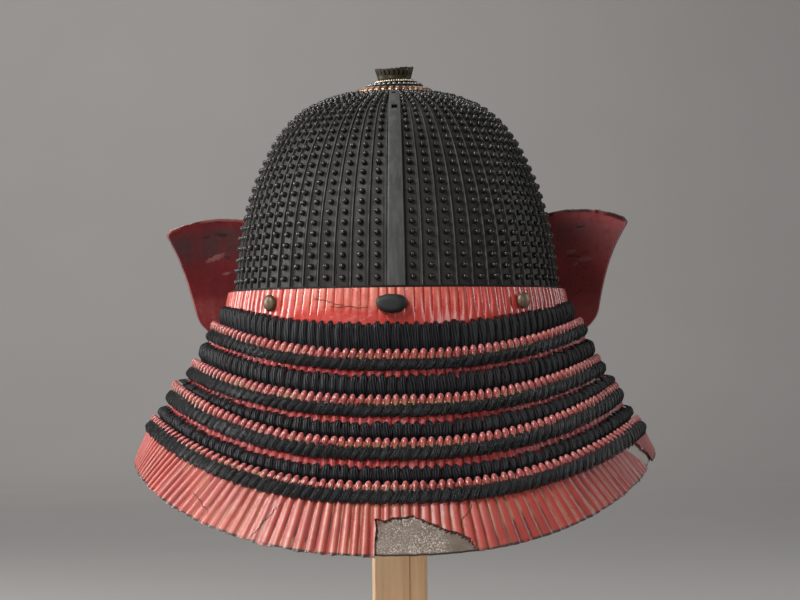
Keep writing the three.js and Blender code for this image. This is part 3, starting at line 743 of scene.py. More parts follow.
def insideOutline(points, outline):
    x, y = points[:, 0], points[:, 1]
    inside = np.zeros(len(points), bool)
    for (x0, y0), (x1, y1) in zip(outline, np.roll(outline, -1, axis=0)):
        if y0 != y1:
            inside ^= ((y0 > y) != (y1 > y)) & (x < (x1 - x0) * (y - y0) / (y1 - y0) + x0)
    return inside


def selectParts(piece, kind, chosen):
    # goes into edit mode with only the chosen faces or edges selected
    focusOn(piece)
    bpy.ops.object.mode_set(mode="EDIT")
    bpy.ops.mesh.select_mode(type=kind)
    bpy.ops.mesh.select_all(action="DESELECT")
    bpy.ops.object.mode_set(mode="OBJECT")
    parts = piece.data.polygons if kind == "FACE" else piece.data.edges
    parts.foreach_set("select", np.asarray(chosen, bool))
    bpy.ops.object.mode_set(mode="EDIT")


def deleteFaces(piece, chosen):
    selectParts(piece, "FACE", chosen)
    bpy.ops.mesh.delete(type="FACE")
    bpy.ops.object.mode_set(mode="OBJECT")


def faceMiddles(piece, values):
    # the mean of some vertex values over each face
    totals, corners = faceRows(piece.data)
    starts = np.concatenate([[0], np.cumsum(totals)[:-1]])
    return np.add.reduceat(values[corners], starts, axis=0) / totals.reshape((-1,) + (1,) * (values.ndim - 1))


def addRod(sides, parts):
    # a capped rod along Y from 0 to 1, of radius 1, cut into equal parts
    deselectAll()
    bpy.ops.mesh.primitive_cylinder_add(vertices=sides, radius=1 * mm, depth=1 * mm, end_fill_type="NGON",
                                        location=(0, 0.5 * mm, 0), rotation=(-math.pi / 2, 0, 0))
    piece = bpy.context.object
    bpy.ops.object.transform_apply(location=True, rotation=True, scale=True)
    if parts > 1:
        ends = np.empty(len(piece.data.edges) * 2, np.int32)
        piece.data.edges.foreach_get("vertices", ends)
        way = np.abs(np.diff(readVertices(piece)[ends.reshape(-1, 2)][:, :, 1], axis=1))[:, 0]
        selectParts(piece, "EDGE", way > 0.5 * mm)
        bpy.ops.mesh.subdivide(number_cuts=parts - 1)
        bpy.ops.object.mode_set(mode="OBJECT")
    return piece


def addShapedRod(sides, rises, widths):
    # a rod with a height and a width for each of its rings, and each corner's place across it and height
    model = addRod(sides, len(rises) - 1)
    points = readVertices(model) / mm
    ring = np.rint(points[:, 1] * (len(rises) - 1)).astype(int)
    rise, width = np.array(rises)[ring], np.array(widths)[ring]
    placeVertices(model, np.stack([points[:, 0] * width, rise, points[:, 2] * width], axis=1))
    return model, points[:, 0], rise


# Bowl: plates that each end in a thin upright fin, and rows of studs on them

bowl = {
    "profile": [(107.5, 0), (103.2, 34), (96.4, 62), (86.8, 86), (75.6, 105), (62, 118.6), (43, 127.4),
                (26, 130.8), (12.5, 131.5)],  # half width and level above the rim
    "lengthRatio": 1.115, "plates": 62, "rows": 44, "wall": 2.4,
    "finHeight": 1.7, "finWidth": 0.95, "finFade": 0.45,
    # across a plate: place from its near edge, or fin widths before its far edge,
    # and share of the fin's height
    "plateSection": [(0.0, 0, 0.0), (0.12, 0, 0.0), (0.5, 0, 0.1), (1, 2.1, 0.14),
                     (1, 1.55, 0.32), (1, 1.35, 0.85), (1, 1.05, 1.0), (1, 0.55, 0.98),
                     (1, 0.3, 0.75), (1, 0.16, 0.02)],
}


def bowlSide(share):
    # half width and level of the bowl's side at a share of the way up
    points = np.array(bowl["profile"], float)
    last = len(points) - 1
    place = np.clip(share, 0, 1) * last
    part = np.minimum(place.astype(int), last - 1)
    t = (place - part)[..., None]
    before, here, after, beyond = (points[np.clip(part + k, 0, last)] for k in (-1, 0, 1, 2))
    slopeHere, slopeAfter = (after - before) / 2, (beyond - here) / 2
    side = ((2 * here - 2 * after + slopeHere + slopeAfter) * t ** 3
            + (3 * after - 3 * here - 2 * slopeHere - slopeAfter) * t ** 2 + slopeHere * t + here)
    return side[..., 0], side[..., 1]


def bowlPoint(angle, share, out=0.0):
    angle, share = np.broadcast_arrays(np.asarray(angle, float), np.asarray(share, float))
    reach, level = bowlSide(share)
    step = 1e-3
    high, low = bowlSide(share + step), bowlSide(share - step)
    slopeX, slopeY = high[0] - low[0], high[1] - low[1]
    size = np.hypot(slopeX, slopeY)
    lean = slopeY / size * out
    return ellipsePoint(reach, reach * bowl["lengthRatio"], angle, level - slopeX / size * out, lean)


bowlTable = arcTable(1, bowl["lengthRatio"], 0, 4 * math.pi, 16000)
bowlRound = bowlTable[1][-1] / 2


def plateAngle(place):
    # the angle at a place counted in plates, where whole numbers are the seams
    return angleAtArc(bowlTable, bowlRound * (place + 0.5) / bowl["plates"])


def makeBowlPlates():
    look = bowl
    section = np.array(look["plateSection"])
    count = len(section)
    finLean = wobble(3, look["plates"] + 1, 0) * 0.10

    def pointAt(u, v):
        column = np.rint(u * look["plates"] * count).astype(int)
        plate, part = column // count, column % count
        reach, _ = bowlSide(v)
        fin = look["finWidth"] * (1 - 0.3 * v) / (bowlRound * reach / look["plates"])
        fin = np.minimum(fin, 0.26)
        place = section[part, 0] - section[part, 1] * fin
        height = look["finHeight"] * (1 - look["finFade"] * v) * section[part, 2]
        lean = finLean[plate] * section[part, 2] * np.sin(v * 9 + plate) * fin
        return bowlPoint(plateAngle(plate + place + lean), v, height)

    piece, u, v = addSheet("bowlPlates", look["plates"] * count, look["rows"], pointAt)
    column = np.rint(u * look["plates"] * count).astype(int)
    paint(piece, "ridge", section[column % count, 2])
    weld(piece)
    thicken(piece, look["wall"])
    smooth(piece, 38)
    return finishPiece(piece, bowlIron, "bowl_iron", "bowl")


stud = {
    "rows": 26, "firstLength": 6.6, "spacing": 7.42, "narrowing": 0.044,
    "radius": 1.95, "topRadius": 1.4, "height": 3.7, "topHeight": 4.0, "sides": 8,
    "bare": (30, 61),  # the middle plates of the front and the back carry none
    "place": 0.44, "sink": 0.3, "jitter": 0.12,
    # a blunt peg: straight sides, then a rounded shoulder and a small flat top
    "rises": (0.0, 0.62, 0.9, 1.0), "widths": (1.06, 0.94, 0.7, 0.34),
}


def makeStuds():
    look = stud
    shares = np.linspace(0, 1, 2001)
    reach, level = bowlSide(shares)
    lengths = pathLengths(np.stack([reach, level], axis=1))
    row = np.arange(look["rows"])
    length = look["firstLength"] + look["spacing"] * row - look["narrowing"] * row ** 2
    rowShare = np.interp(length, lengths, shares)
    plates = np.array([p for p in range(bowl["plates"]) if p not in look["bare"]])
    plate, row = (grid.ravel() for grid in np.meshgrid(plates, row, indexing="ij"))
    share = rowShare[row]
    fade = (row / look["rows"]) ** 1.5
    radius = look["radius"] + (look["topRadius"] - look["radius"]) * fade
    height = look["height"] + (look["topHeight"] - look["height"]) * fade
    jitter = dice.normal(size=(3, len(row))) * look["jitter"]
    angle = plateAngle(plate + look["place"] + jitter[0] * 0.08)
    spot, right, up, out = frameOn(bowlPoint, angle, share + jitter[1] * 0.002)
    out = out + (right * jitter[1][:, None] + up * jitter[2][:, None]) * 0.5
    height = height * (1 + jitter[2] * 0.5)

    model, _, _ = addShapedRod(look["sides"], look["rises"], look["widths"])

    def placeAt(which, local):
        return (spot[which] + right[which] * (local[:, 0] * radius[which])[:, None]
                - up[which] * (local[:, 2] * radius[which])[:, None]
                + out[which] * (local[:, 1] * height[which] - look["sink"])[:, None])

    piece = copyMany("bowlStuds", model, len(row), placeAt)
    return finishPiece(piece, studIron, "bowl_iron", "bowl")


centrePlate = {
    "wall": 1.0, "lift": 2.0, "halfWidthLow": 5.85, "halfWidthHigh": 3.1, "low": 0.012,
    "high": 0.885, "foot": 2.4, "columns": 12, "rows": 120,
    # holes for a badge pin: share of the way up, half of the height in rows, half of the width in columns
    "holes": [(0.685, 1.8, 2.7), (0.862, 2.2, 2.5)],
}


def makeCentrePlate(name, node, middle, holes):
    look = centrePlate
    direction = math.cos(middle)

    def pointAt(u, v):
        side = 2 * u - 1
        share = look["low"] + (look["high"] - look["low"]) * v
        crown = 0.28 * (1 - side ** 2)
        point = bowlPoint(np.full_like(v, middle), share, look["lift"] + look["wall"] * 0.6 + crown)
        half = look["halfWidthLow"] + (look["halfWidthHigh"] - look["halfWidthLow"]) * v ** 0.9
        point[:, 0] += side * half * direction
        point[:, 2] -= look["foot"] * np.clip(1 - v * 40, 0, 1)
        return point

    piece, u, v = addSheet(name, look["columns"], look["rows"], pointAt)
    side = np.abs(2 * u - 1)
    paint(piece, "ridge", np.where(side > 0.8, 1.0, 0.5))
    if holes:
        middles = faceMiddles(piece, np.stack([u, v], axis=1))
        cut = np.zeros(len(middles), bool)
        for share, halfRows, halfColumns in holes:
            cut |= ((np.abs(middles[:, 1] - share) * look["rows"] < halfRows)
                    & (np.abs(middles[:, 0] - 0.5) * look["columns"] < halfColumns))
        deleteFaces(piece, cut)
    thicken(piece, look["wall"])
    roundEdges(piece, 0.28)
    smooth(piece, 40)
    return finishPiece(piece, plateIron, "plate_iron", node)


waistBand = {
    "wall": 2.3, "offset": 3.4,
    # out and level of the outer face: a flat band whose upper edge is rolled outwards
    "section": [(0, -28), (0, -14), (0, -3), (0.5, -1.6), (0.45, -0.4), (0.45, 0.1), (0.1, 1.2)],
}


def makeWaistBand():
    look = waistBand
    reach = bowl["profile"][0][0]
    section = np.array(look["section"], float)

    def pointAt(u, v):
        out, level = alongSection(section, v)
        angle = u * 2 * math.pi
        return ellipsePoint(reach, reach * bowl["lengthRatio"], angle, level, look["offset"] + out)

    piece, u, v = addSheet("waistBand", 180, 18, pointAt)
    weld(piece)
    thicken(piece, look["wall"])
    smooth(piece, 40)
    # near black: the iron's colour, and a stand-in for the shadow line between the plates and the top lame
    return finishPiece(piece, dullIron, "bowl_iron", "waist_band")


makeBowlPlates()
makeStuds()
makeCentrePlate("backPlate", "centre_plate_back", 0, centrePlate["holes"])
makeCentrePlate("frontPlate", "centre_plate_front", math.pi, [])
makeWaistBand()
print("bowl made")


# Crown fitting: a copper rosette, a pearled disc, a ring of beads and a slotted cup

def addTurned(name, profile, sides, rows, shapeAt=None):
    corners = np.array(profile, float)
    along = pathLengths(corners)

    def pointAt(u, v):
        radius = np.interp(v * along[-1], along, corners[:, 0])
        level = np.interp(v * along[-1], along, corners[:, 1])
        angle = u * 2 * math.pi
        if shapeAt:
            radius, level = shapeAt(angle, radius, level)
        return ellipsePoint(radius + 1e-9, radius + 1e-9, angle, level)

    return addSheet(name, sides, rows, pointAt)


def tilted(tilt):
    # a turned piece that sits a little crooked, higher at the right
    return lambda angle, radius, level: (radius, level + tilt * radius * np.sin(angle))


def petalShare(angle, petals):
    # 1 along the middle of each petal and 0 between them
    across = 2 * ((angle / (2 * math.pi) * petals) % 1) - 1
    return np.sqrt(np.clip(1 - across ** 2, 0, 1))


rosette = {
    "petals": 32, "grooveIn": 1.5, "grooveDown": 1.3,
    # grooves between the petals start this far out and this high up, and deepen over these lengths
    "grooveStart": (19.0, 132.2), "grooveBlend": (2.5, 1.5),
    "profile": [(0, 132.9), (13, 132.8), (23, 132.2), (25.2, 132.3), (26.1, 133.0),
                (26.3, 134.0), (26.2, 135.0), (25.4, 136.2), (24.0, 136.9), (22.3, 137.2), (21.8, 137.5),
                (19.2, 137.7), (17, 137.8), (0, 137.9)],
}


def makeRosette():
    look = rosette
    startOut, startUp = look["grooveStart"]
    blendOut, blendUp = look["grooveBlend"]

    def shapeAt(angle, radius, level):
        petal = petalShare(angle, look["petals"])
        outer = np.clip((radius - startOut) / blendOut, 0, 1)
        upper = np.clip((level - startUp) / blendUp, 0, 1)
        groove = (1 - petal) * outer
        return radius - groove * look["grooveIn"], level - groove * upper * look["grooveDown"]

    piece, u, _ = addTurned("crownRosette", look["profile"], look["petals"] * 10, 34, shapeAt)
    petal = petalShare(u * 2 * math.pi, look["petals"])
    paint(piece, "ridge", petal ** 0.5)
    weld(piece, 0.01)
    smooth(piece, 50)
    return finishPiece(piece, copperMetal, "crown_copper", "crown_rosette")


pearledDisc = {
    "profile": [(0, 137.6), (17.6, 137.6), (18.9, 137.9), (19.6, 138.4), (19.7, 138.8),
                (19.1, 139.2), (17.0, 139.3), (15.9, 139.5), (0, 139.5)],
    "pearls": 32, "radius": 17.9, "level": 139.0, "size": (1.5, 1.25, 1.05), "tilt": 0.018,
}


def makePearledDisc():
    look = pearledDisc
    disc, _, v = addTurned("pearledDisc", look["profile"], 96, 20, tilted(look["tilt"]))
    paint(disc, "ridge", np.where(v > 0.55, 0.25, 0.8))
    weld(disc, 0.01)
    smooth(disc, 40)
    deselectAll()
    bpy.ops.mesh.primitive_uv_sphere_add(segments=12, ring_count=8, radius=1 * mm)
    pearl = bpy.context.object
    long, wide, high = look["size"]

    def placeAt(which, local):
        angle = which / look["pearls"] * 2 * math.pi
        spot = ellipsePoint(look["radius"], look["radius"], angle, look["level"])
        spot[:, 2] += spot[:, 0] * look["tilt"]
        right = np.stack([np.cos(angle), np.sin(angle), 0 * angle], axis=1)
        out = np.stack([np.sin(angle), -np.cos(angle), 0 * angle], axis=1)
        return (spot + right * (local[:, 0] * long)[:, None] + out * (local[:, 1] * wide)[:, None]
                + np.array([0, 0, 1]) * (local[:, 2] * high)[:, None])

    pearls = copyMany("discPearls", pearl, look["pearls"], placeAt)
    paint(pearls, "ridge", 1.0)
    piece = joinPieces("pearledDisc", [disc, pearls])
    return finishPiece(piece, darkMetal, "crown_brass", "crown_rope_ring")


beadRing = {
    "profile": [(0, 139.6), (15.2, 139.9), (15.9, 140.1), (16.0, 140.6), (15.2, 140.9),
                (12.9, 141.0), (12.0, 142.2), (11.0, 143.0), (0, 143.0)],
    "beads": 49, "radius": 12.8, "level": 141.5, "size": 0.86, "tilt": 0.05,
}


def makeBeadRing():
    look = beadRing
    collar, _, _ = addTurned("crownCollar", look["profile"], 96, 24, tilted(look["tilt"]))
    paint(collar, "ridge", 0.3)
    weld(collar, 0.01)
    smooth(collar, 40)
    finishPiece(collar, darkMetal, "crown_brass", "crown_bead_ring")
    deselectAll()
    bpy.ops.mesh.primitive_uv_sphere_add(segments=10, ring_count=7, radius=1 * mm)
    bead = bpy.context.object

    def placeAt(which, local):
        angle = which / look["beads"] * 2 * math.pi
        spot = ellipsePoint(look["radius"], look["radius"], angle, look["level"])
        spot[:, 2] += spot[:, 0] * look["tilt"]
        return spot + local * look["size"] * np.array([1, 1, 1.05])

    piece = copyMany("crownBeads", bead, look["beads"], placeAt)
    paint(piece, "ridge", 0.9)
    return finishPiece(piece, goldMetal, "crown_brass", "crown_bead_ring")


cup = {
    "petals": 24, "parts": 6, "wall": 0.8,
    "profile": [(9.6, 143.0), (10.5, 143.1), (10.6, 143.9), (10.9, 145.4), (11.4, 147.0), (12.0, 149.0),
                (12.6, 151.2)],
    "slotLow": 0.42, "slotHigh": 0.9, "unevenness": 0.45,
    # from this level up the petals part, and the rim rises to the right and drops to the back
    "freeFrom": 145.6, "freeHeight": 5.0, "bend": (0.7, 1.2), "petalDrop": 0.7, "petalIn": 0.55,
    # the dark liner inside it, which stands in for the shade seen through the slots
    "floor": [(0, 143.0), (9.8, 143.0), (9.9, 144.2), (10.3, 146.6), (11.0, 149.3), (10.7, 149.4),
              (9.8, 146.8), (9.0, 145.6), (0, 145.6)],
}


def makeCup():
    look = cup
    tops = wobble(11, look["petals"], 1) * look["unevenness"]

    def shapeAt(angle, radius, level):
        petal = petalShare(angle, look["petals"])
        high = np.clip((level - look["freeFrom"]) / look["freeHeight"], 0, 1)
        number = (angle / (2 * math.pi) * look["petals"]).astype(int) % look["petals"]
        level = level + high ** 2 * (tops[number] - look["petalDrop"] * (1 - petal) ** 2)
        bent = high * (look["bend"][0] * np.sin(angle) - look["bend"][1] * np.cos(angle))
        return radius - look["petalIn"] * high * (1 - petal), level + bent

    columns = look["petals"] * look["parts"]
    piece, u, v = addTurned("crownCup", look["profile"], columns, 22, shapeAt)
    petal = petalShare(u * 2 * math.pi, look["petals"])
    high = np.clip((v - 0.4) / 0.2, 0, 1)
    paint(piece, "ridge", 0.55 - high * 0.3 + petal * high * 0.5)
    middles = faceMiddles(piece, np.stack([u, v], axis=1))
    # slots between the petals, but for one petal in nine
    column = np.floor(middles[:, 0] * columns).astype(int)
    part = column % look["parts"]
    inSlot = (middles[:, 1] > look["slotLow"]) & (middles[:, 1] < look["slotHigh"])
    slot = ((part == 0) | (part == look["parts"] - 1)) & inSlot
    deleteFaces(piece, slot & (column // look["parts"] % 9 != 7))
    weld(piece, 0.01)
    thicken(piece, look["wall"])
    smooth(piece, 40)
    finishPiece(piece, cupMetal, "crown_brass", "crown_cup")
    # painted shade: a dark liner so that the slots show dark inside
    floorPiece, _, _ = addTurned("cupFloor", look["floor"], 48, 24)
    paint(floorPiece, "ridge", 0.2)
    weld(floorPiece, 0.01)
    smooth(floorPiece, 40)
    return finishPiece(floorPiece, darkMetal, "crown_brass", "crown_cup")


makeRosette()
makePearledDisc()
makeBeadRing()
makeCup()
print("crown fitting made")


# Neck guard: five lacquered lames of many small scales, laced together with silk

# Levels and drops in millimetres: the upper edge at the back and its rise at the left and the right end,
# half width and reach to the back, outward slope, end angle. Shift is how far the lame hangs to the right.
# Then, at the back, the left end and the right end, how far below the upper edge lie the lower edge, the line
# where the laces come out and the braid's middle.
lames = [
    {"top": -0.3, "rise": (0, 0), "reachX": 114.8, "reachY": 127.2, "flare": 0.125, "end": 120,
     "shift": 0, "fan": (0.0, 0.0), "edge": (48, 28.6, 28.6), "laces": (21.7, 8.2, 8.2), "pitch": 5.85},
    {"top": -39.1, "rise": (21.2, 21), "reachX": 125.4, "reachY": 140, "flare": 0.205, "end": 78,
     "shift": 0, "fan": (0.8, 0.8), "edge": (38.6, 34.6, 34.6), "laces": (16.1, 14.5, 14.4),
     "braid": (10.1, 8.9, 8.2), "pitch": 5.5},
    {"top": -67.6, "rise": (25.7, 25.7), "reachX": 137.5, "reachY": 154.5, "flare": 0.3, "end": 77,
     "shift": -0.8, "fan": (0.8, 0.8), "edge": (37.4, 26.6, 26.6), "laces": (17, 13.6, 13.4),
     "braid": (10.2, 9.1, 8.8), "pitch": 5.5},
    {"top": -94.1, "rise": (38.7, 34.4), "reachX": 150.3, "reachY": 171, "flare": 0.3, "end": 76.5,
     "shift": -1.6, "fan": (0.8, 0.8), "edge": (36.4, 31.2, 31.2), "laces": (17.6, 16.4, 15.7),
     "braid": (10, 10, 8.3), "pitch": 5.5},
    {"top": -120.1, "rise": (43.1, 38.8), "reachX": 164.4, "reachY": 186, "flare": 0.48, "end": 76,
     "shift": -1.7, "fan": (2.15, 1.7), "edge": (45.1, 33.2, 25.2),
     "braid": (9.7, 6.5, 7.1), "pitch": 5.65, "tuckIn": (0.26, 0.08)},
]
lameWall = 2.2


def blendAt(backAndEnds, angle):
    back, left, right = backAndEnds
    share = np.where(np.abs(angle) > math.pi / 2, 1.0, np.abs(np.sin(angle)) ** 2.5)
    return back + (np.where(angle < 0, left, right) - back) * share


def topLevel(lame, angle):
    return lame["top"] + blendAt((0, *lame["rise"]), angle)


def lamePoint(lame, angle, drop, out=0.0):
    spread = lame["flare"] * drop
    if "tuckIn" in lame:
        spread = spread * (1 - np.where(angle < 0, *lame["tuckIn"]) * np.abs(np.sin(angle)) ** 8)
    point = ellipsePoint(lame["reachX"] + spread, lame["reachY"] + spread, angle,
                         topLevel(lame, angle) - drop, out)
    point[..., 0] += lame["shift"]
    return point


for lame in lames:
    end = math.radians(lame["end"])
    lame["table"] = arcTable(lame["reachX"], lame["reachY"], -end, end)
    lame["length"] = lame["table"][1][-1]
    lame["scales"] = round(lame["length"] / lame["pitch"])


def lameAngle(lame, place, setback=0.0):
    # the angle at a share of the way from the left end to the right end
    return angleAtArc(lame["table"], setback + (lame["length"] - 2 * setback) * place)


ripples = {
    # across one scale: where the columns lie, and how the ridges of the top and of the other lames stand out
    "columns": np.array([0.0, 0.07, 0.17, 0.32, 0.5, 0.68, 0.83, 0.93]),
    "topDepth": 1.35, "topPower": 0.62, "depth": 1.5, "power": 1.15, "restless": 0.05,
}


def rippleAt(number, place):
    # height of the ridges between 0 in the grooves and 1 on top
    if number == 0:
        return np.abs(np.sin(place % 1 * math.pi)) ** ripples["topPower"]
    return np.abs(np.sin((place % 1) ** 1.12 * math.pi)) ** ripples["power"]


def ripplePlace(number, place):
    # ridges that aren't quite evenly spaced
    shift = waves(50 + number, place, 0.05, 0.45) * ripples["restless"]
    return place + shift


def fan(lame, angle, drop):
    # scales lean outwards towards the ends, as they stand square to the rising edge
    reach = (lame["reachX"] + lame["reachY"]) / 2
    lean = np.where(angle < 0, *lame["fan"]) * np.abs(np.sin(angle)) ** 2.4 * np.cos(angle) * np.sign(angle)
    return np.where(np.abs(angle) < math.pi / 2, lean * drop / reach, 0)


def placeAtAngle(number, angle):
    # the place, counted in scales from the left end, whose ridge stands at an angle
    lame = lames[number]
    places = np.linspace(0, lame["scales"], 9001)
    return np.interp(angle, lameAngle(lame, ripplePlace(number, places) / lame["scales"]), places)


def unfan(lame, angle, drop):
    # the angle at the upper edge of the scale that passes through a point
    start = angle
    for _ in range(12):
        start = angle - fan(lame, start, drop)
    return start


def lameFace(number, place, drop, out=0.0):
    # a point of the ridged face, where place counts scales from the left end
    lame = lames[number]
    ridge = rippleAt(number, place)
    angle = lameAngle(lame, ripplePlace(number, place) / lame["scales"])
    angle = angle + fan(lame, angle, drop)
    if number == 0:
        fade = np.clip((22 - drop) / 12, 0.12, 1)
        random = 0.75 + 0.25 * wobble(61, 200, 0)[np.floor(place).astype(int) % 200].clip(-1, 1)
        depth = ripples["topDepth"] * fade * random
        bend = -1.0 * (np.clip(1 - drop / 15, 0, 1)) ** 2
        return lamePoint(lame, angle, drop, (ridge - 1) * depth + bend + out)
    random = 1 + 0.16 * wobble(61 + number, 200, 0)[np.floor(place).astype(int) % 200].clip(-1.5, 1.5)
    flatter = np.interp(angle, np.radians([15, 40]), [1, 0.5])  # the right side is worn flatter
    depth = ripples["depth"] * random * np.clip((drop - 6) / 6, 0.35, 1) * flatter
    return lamePoint(lame, angle, drop, (ridge - 1) * depth + out)


def endCorner(angle, fromEnd):
    # how far the lower edge of the lowest lame is drawn up round its end corners
    corner = np.where(angle < 0, *chip["corner"])
    short = np.clip(1 - fromEnd / corner, 0, 1)
    return corner * (1 - np.sqrt(1 - short ** 2))


def makeLameSheet(number, rows, name, topDrop=2.2):
    # the lame's own wall; topDrop leaves room for the scale heads
    lame = lames[number]
    columns = ripples["columns"]
    count = lame["scales"] * len(columns)

    def places(u):
        column = np.rint(u * count).astype(int)
        return column // len(columns) + columns[column % len(columns)]

    def ragged(place):
        return 0.5 * waves(90 + number, place, 0.1, 0.5) + 0.3 * waves(95 + number, place, 0.8, 1.6)

    def dropAt(u, v):
        place = places(u)
        angle = lameAngle(lame, place / lame["scales"])
        bottom = blendAt(lame["edge"], angle)
        if number == 4:
            # the left side is the more ragged one
            fromEnd = np.minimum(place, lame["scales"] - place) * lame["pitch"]
            bottom = bottom + ragged(place) * np.where(angle < 0, 1, 0.3) - endCorner(angle, fromEnd)
        scallop = 0.9 * (1 - np.abs(np.sin(place % 1 * math.pi))) if topDrop else 0
        return topDrop + scallop * v ** 6 + (bottom - topDrop) * (1 - v)

    piece, u, v = addSheet(name, count, rows, lambda u, v: lameFace(number, places(u), dropAt(u, v)))
    place, drop = places(u), dropAt(u, v)
    angle = lameAngle(lame, place / lame["scales"])
    bottom = blendAt(lame["edge"], angle)
    high = rippleAt(number, place) - 0.5
    # on the top lame only the upper part is painted paler, fading out downwards: partly worn, partly a
    # painted highlight where it faces up to the light
    if number == 0:
        high = (high + 0.25) * np.clip((17 - drop) / 9, 0.0, 1)
    # the left and the middle are paler than the right, partly worn and partly a painted sheen of the light
    # from the upper left
    high = np.where(high > 0, high * np.interp(np.degrees(angle), [-48, -12, 28], [0.4, 1, 0.15]), high)
    paint(piece, "ridge", 0.5 + high)
    paint(piece, "edge", np.clip((drop - bottom + 2.2) / 1.5, 0, 1) if number == 4 else 0.0)
    return piece, place, drop


def makeTopLame():
    piece, _, _ = makeLameSheet(0, 14, "lame1", topDrop=0)
    thicken(piece, lameWall)
    smooth(piece, 50)
    return finishPiece(piece, topLacquer, "red_lacquer", "lame_1")


def makeLameWall(number):
    piece, _, _ = makeLameSheet(number, 10, f"lame{number + 1}")
    thicken(piece, lameWall)
    smooth(piece, 50)
    return finishPiece(piece, wallLacquer, "red_lacquer", f"lame_{number + 1}")


head = {
    "halfWidth": 2.2, "height": 10.5, "halfThickness": 2.0, "lean": 0.08, "sides": 8,
    "rises": [0.0, 0.34, 0.48, 0.6, 0.72, 0.83, 0.92, 0.98, 1.0],
    "widths": [0.7, 0.72, 0.78, 0.9, 0.98, 0.92, 0.72, 0.42, 0.14],
    "jitter": 0.22,
    # beside each head, the shoulder of the scale that it overlaps: sideways place, drop, width and set-back
    "shoulder": {"aside": -2.7, "drop": 2.9, "width": 0.6, "back": 1.3},
}


def makeHeads(number):
    # the rounded tips of the scales, which show above the braid
    look, lame = head, lames[number]
    count = lame["scales"]
    jitter = np.random.default_rng(70 + number).normal(size=(4, count)) * look["jitter"]
    place = np.arange(count) + 0.5 + jitter[0] * 0.2
    made = []
    for shoulder in (None, look["shoulder"]):
        model, side, rise = addShapedRod(look["sides"], look["rises"], look["widths"])
        aside, lower, narrow, back = shoulder.values() if shoulder else (0, 0, 1, 0)

        def placeAt(which, local, aside=aside, lower=lower, narrow=narrow, back=back):
            x = local[:, 0] * look["halfWidth"] * narrow * (1 + 0.3 * jitter[1][which]) + aside
            y = (local[:, 1] - 1) * look["height"]
            x = x + (look["lean"] + 0.12 * jitter[2][which]) * (y + 3)
            angle = lameAngle(lame, (place[which] + x / lame["pitch"]) / count)
            drop = lower - y + 0.5 * np.abs(jitter[3][which]) + 0.1
            angle = angle + fan(lame, angle, drop)
            return lamePoint(lame, angle, drop, -local[:, 2] * look["halfThickness"] - 0.25 - back)

        copies = copyMany(f"scaleHeads{number + 1}", model, count, placeAt)
        heights, sideways = np.tile(rise, count), np.tile(side, count)
        # the tips and the left sides are painted paler as a highlight; lower down and on the set-back
        # shoulders they take the grooves' dirt colour, which there also stands in for the shade between the
        # heads
        paint(copies, "ridge",
              np.clip((-0.2 if shoulder else 0.1) + (heights - 0.58) * 2.2 - 0.3 * sideways, 0, 1))
        paint(copies, "edge", 0.0)
        made.append(copies)
    piece = joinPieces(f"scaleHeads{number + 1}", made)
    return finishPiece(piece, headLacquer, "red_lacquer", f"lame_{number + 1}")


chip = {
    # the coat that has broken off the lowest lame: degrees from the back and drop
    "outlines": [
        [(-4.1, 62), (-4.2, 35.1), (-4.0, 29.1), (-4.3, 22.4), (-3.3, 22.9), (-2.7, 24.0),
         (-1.7, 23.4), (-0.8, 22.1), (0.0, 21.7), (0.9, 22.2), (1.7, 22.0), (2.6, 21.3), (3.2, 21.1),
         (3.6, 20.7), (4.1, 22.3), (5.3, 23.4), (6.3, 25.1), (7.5, 26.4), (8.6, 27.7), (9.5, 29.7),
         (10.8, 31.1), (12.1, 32.1), (13.2, 34.1), (14.1, 35.7), (14.9, 38.3), (15.4, 41.5),
         (15.9, 43.6), (15.9, 62)],
        [(59.0, 8.0), (65.0, 8.0), (66.8, 13.5), (69.2, 19.5), (71.6, 24.5), (72.6, 60),
         (67.5, 60), (66.6, 27.5), (63.5, 20.5), (60.3, 12.5)],
    ],
    # the first and the last corner of each outline's broken part
    "brokenParts": [(1, 25), (7, 9)],
    "skin": 1.0, "plateWall": 1.2, "shadowWidth": 1.7, "rows": 40, "corner": (15.0, 9.0), "reach": 0.62,
    # the bare plate starts this far below the lame's upper edge and ends this short of its lower edge
    "plateTop": 3, "plateShort": 0.3,
    # on it, degrees from the back: where it turns plainer and where it is scraped white
    "plainFrom": 10.4, "plainChalk": 0.12, "scrapedFrom": 40, "scrapedChalk": 18.0,
    # scraps of the coat are left on it up to this place, in degrees, and down to this drop
    "scrapsTo": -1.4, "scrapsDrop": 29,
}


def brokenDepth():
    # how far the bare plate lies behind the ridges
    return chip["skin"] + ripples["depth"] * 0.95


def degreeLength():
    # about the length of a degree along the middle of the lowest lame
    return lames[4]["reachX"] * 1.1 * math.pi / 180


def makeLowestLame():
    look, lame, number = chip, lames[4], 4
    unit = degreeLength()
    piece, place, drop = makeLameSheet(number, look["rows"], "lame5")
    angle = lameAngle(lame, ripplePlace(number, place) / lame["scales"])
    flat = np.stack([np.degrees(angle + fan(lame, angle, drop)) * unit, drop], axis=1)
    outlines = [np.array(outline, float) * (unit, 1) for outline in look["outlines"]]
    for outline in outlines:
        gap, nearest = closestOnPath(flat, np.vstack([outline, outline[:1]]))
        close = gap < look["reach"]
        flat[close] = nearest[close]
    # move the corners that lie beside the break onto it
    angle = unfan(lame, np.radians(flat[:, 0] / unit), flat[:, 1])
    placeVertices(piece, lameFace(number, placeAtAngle(number, angle), flat[:, 1]))
    middles = faceMiddles(piece, flat)
    broken = insideOutline(middles, outlines[0]) | insideOutline(middles, outlines[1])
    deleteFaces(piece, broken)
    thicken(piece, look["skin"])
    smooth(piece, 50)
    return finishPiece(piece, lacquer, "red_lacquer", "lame_5")


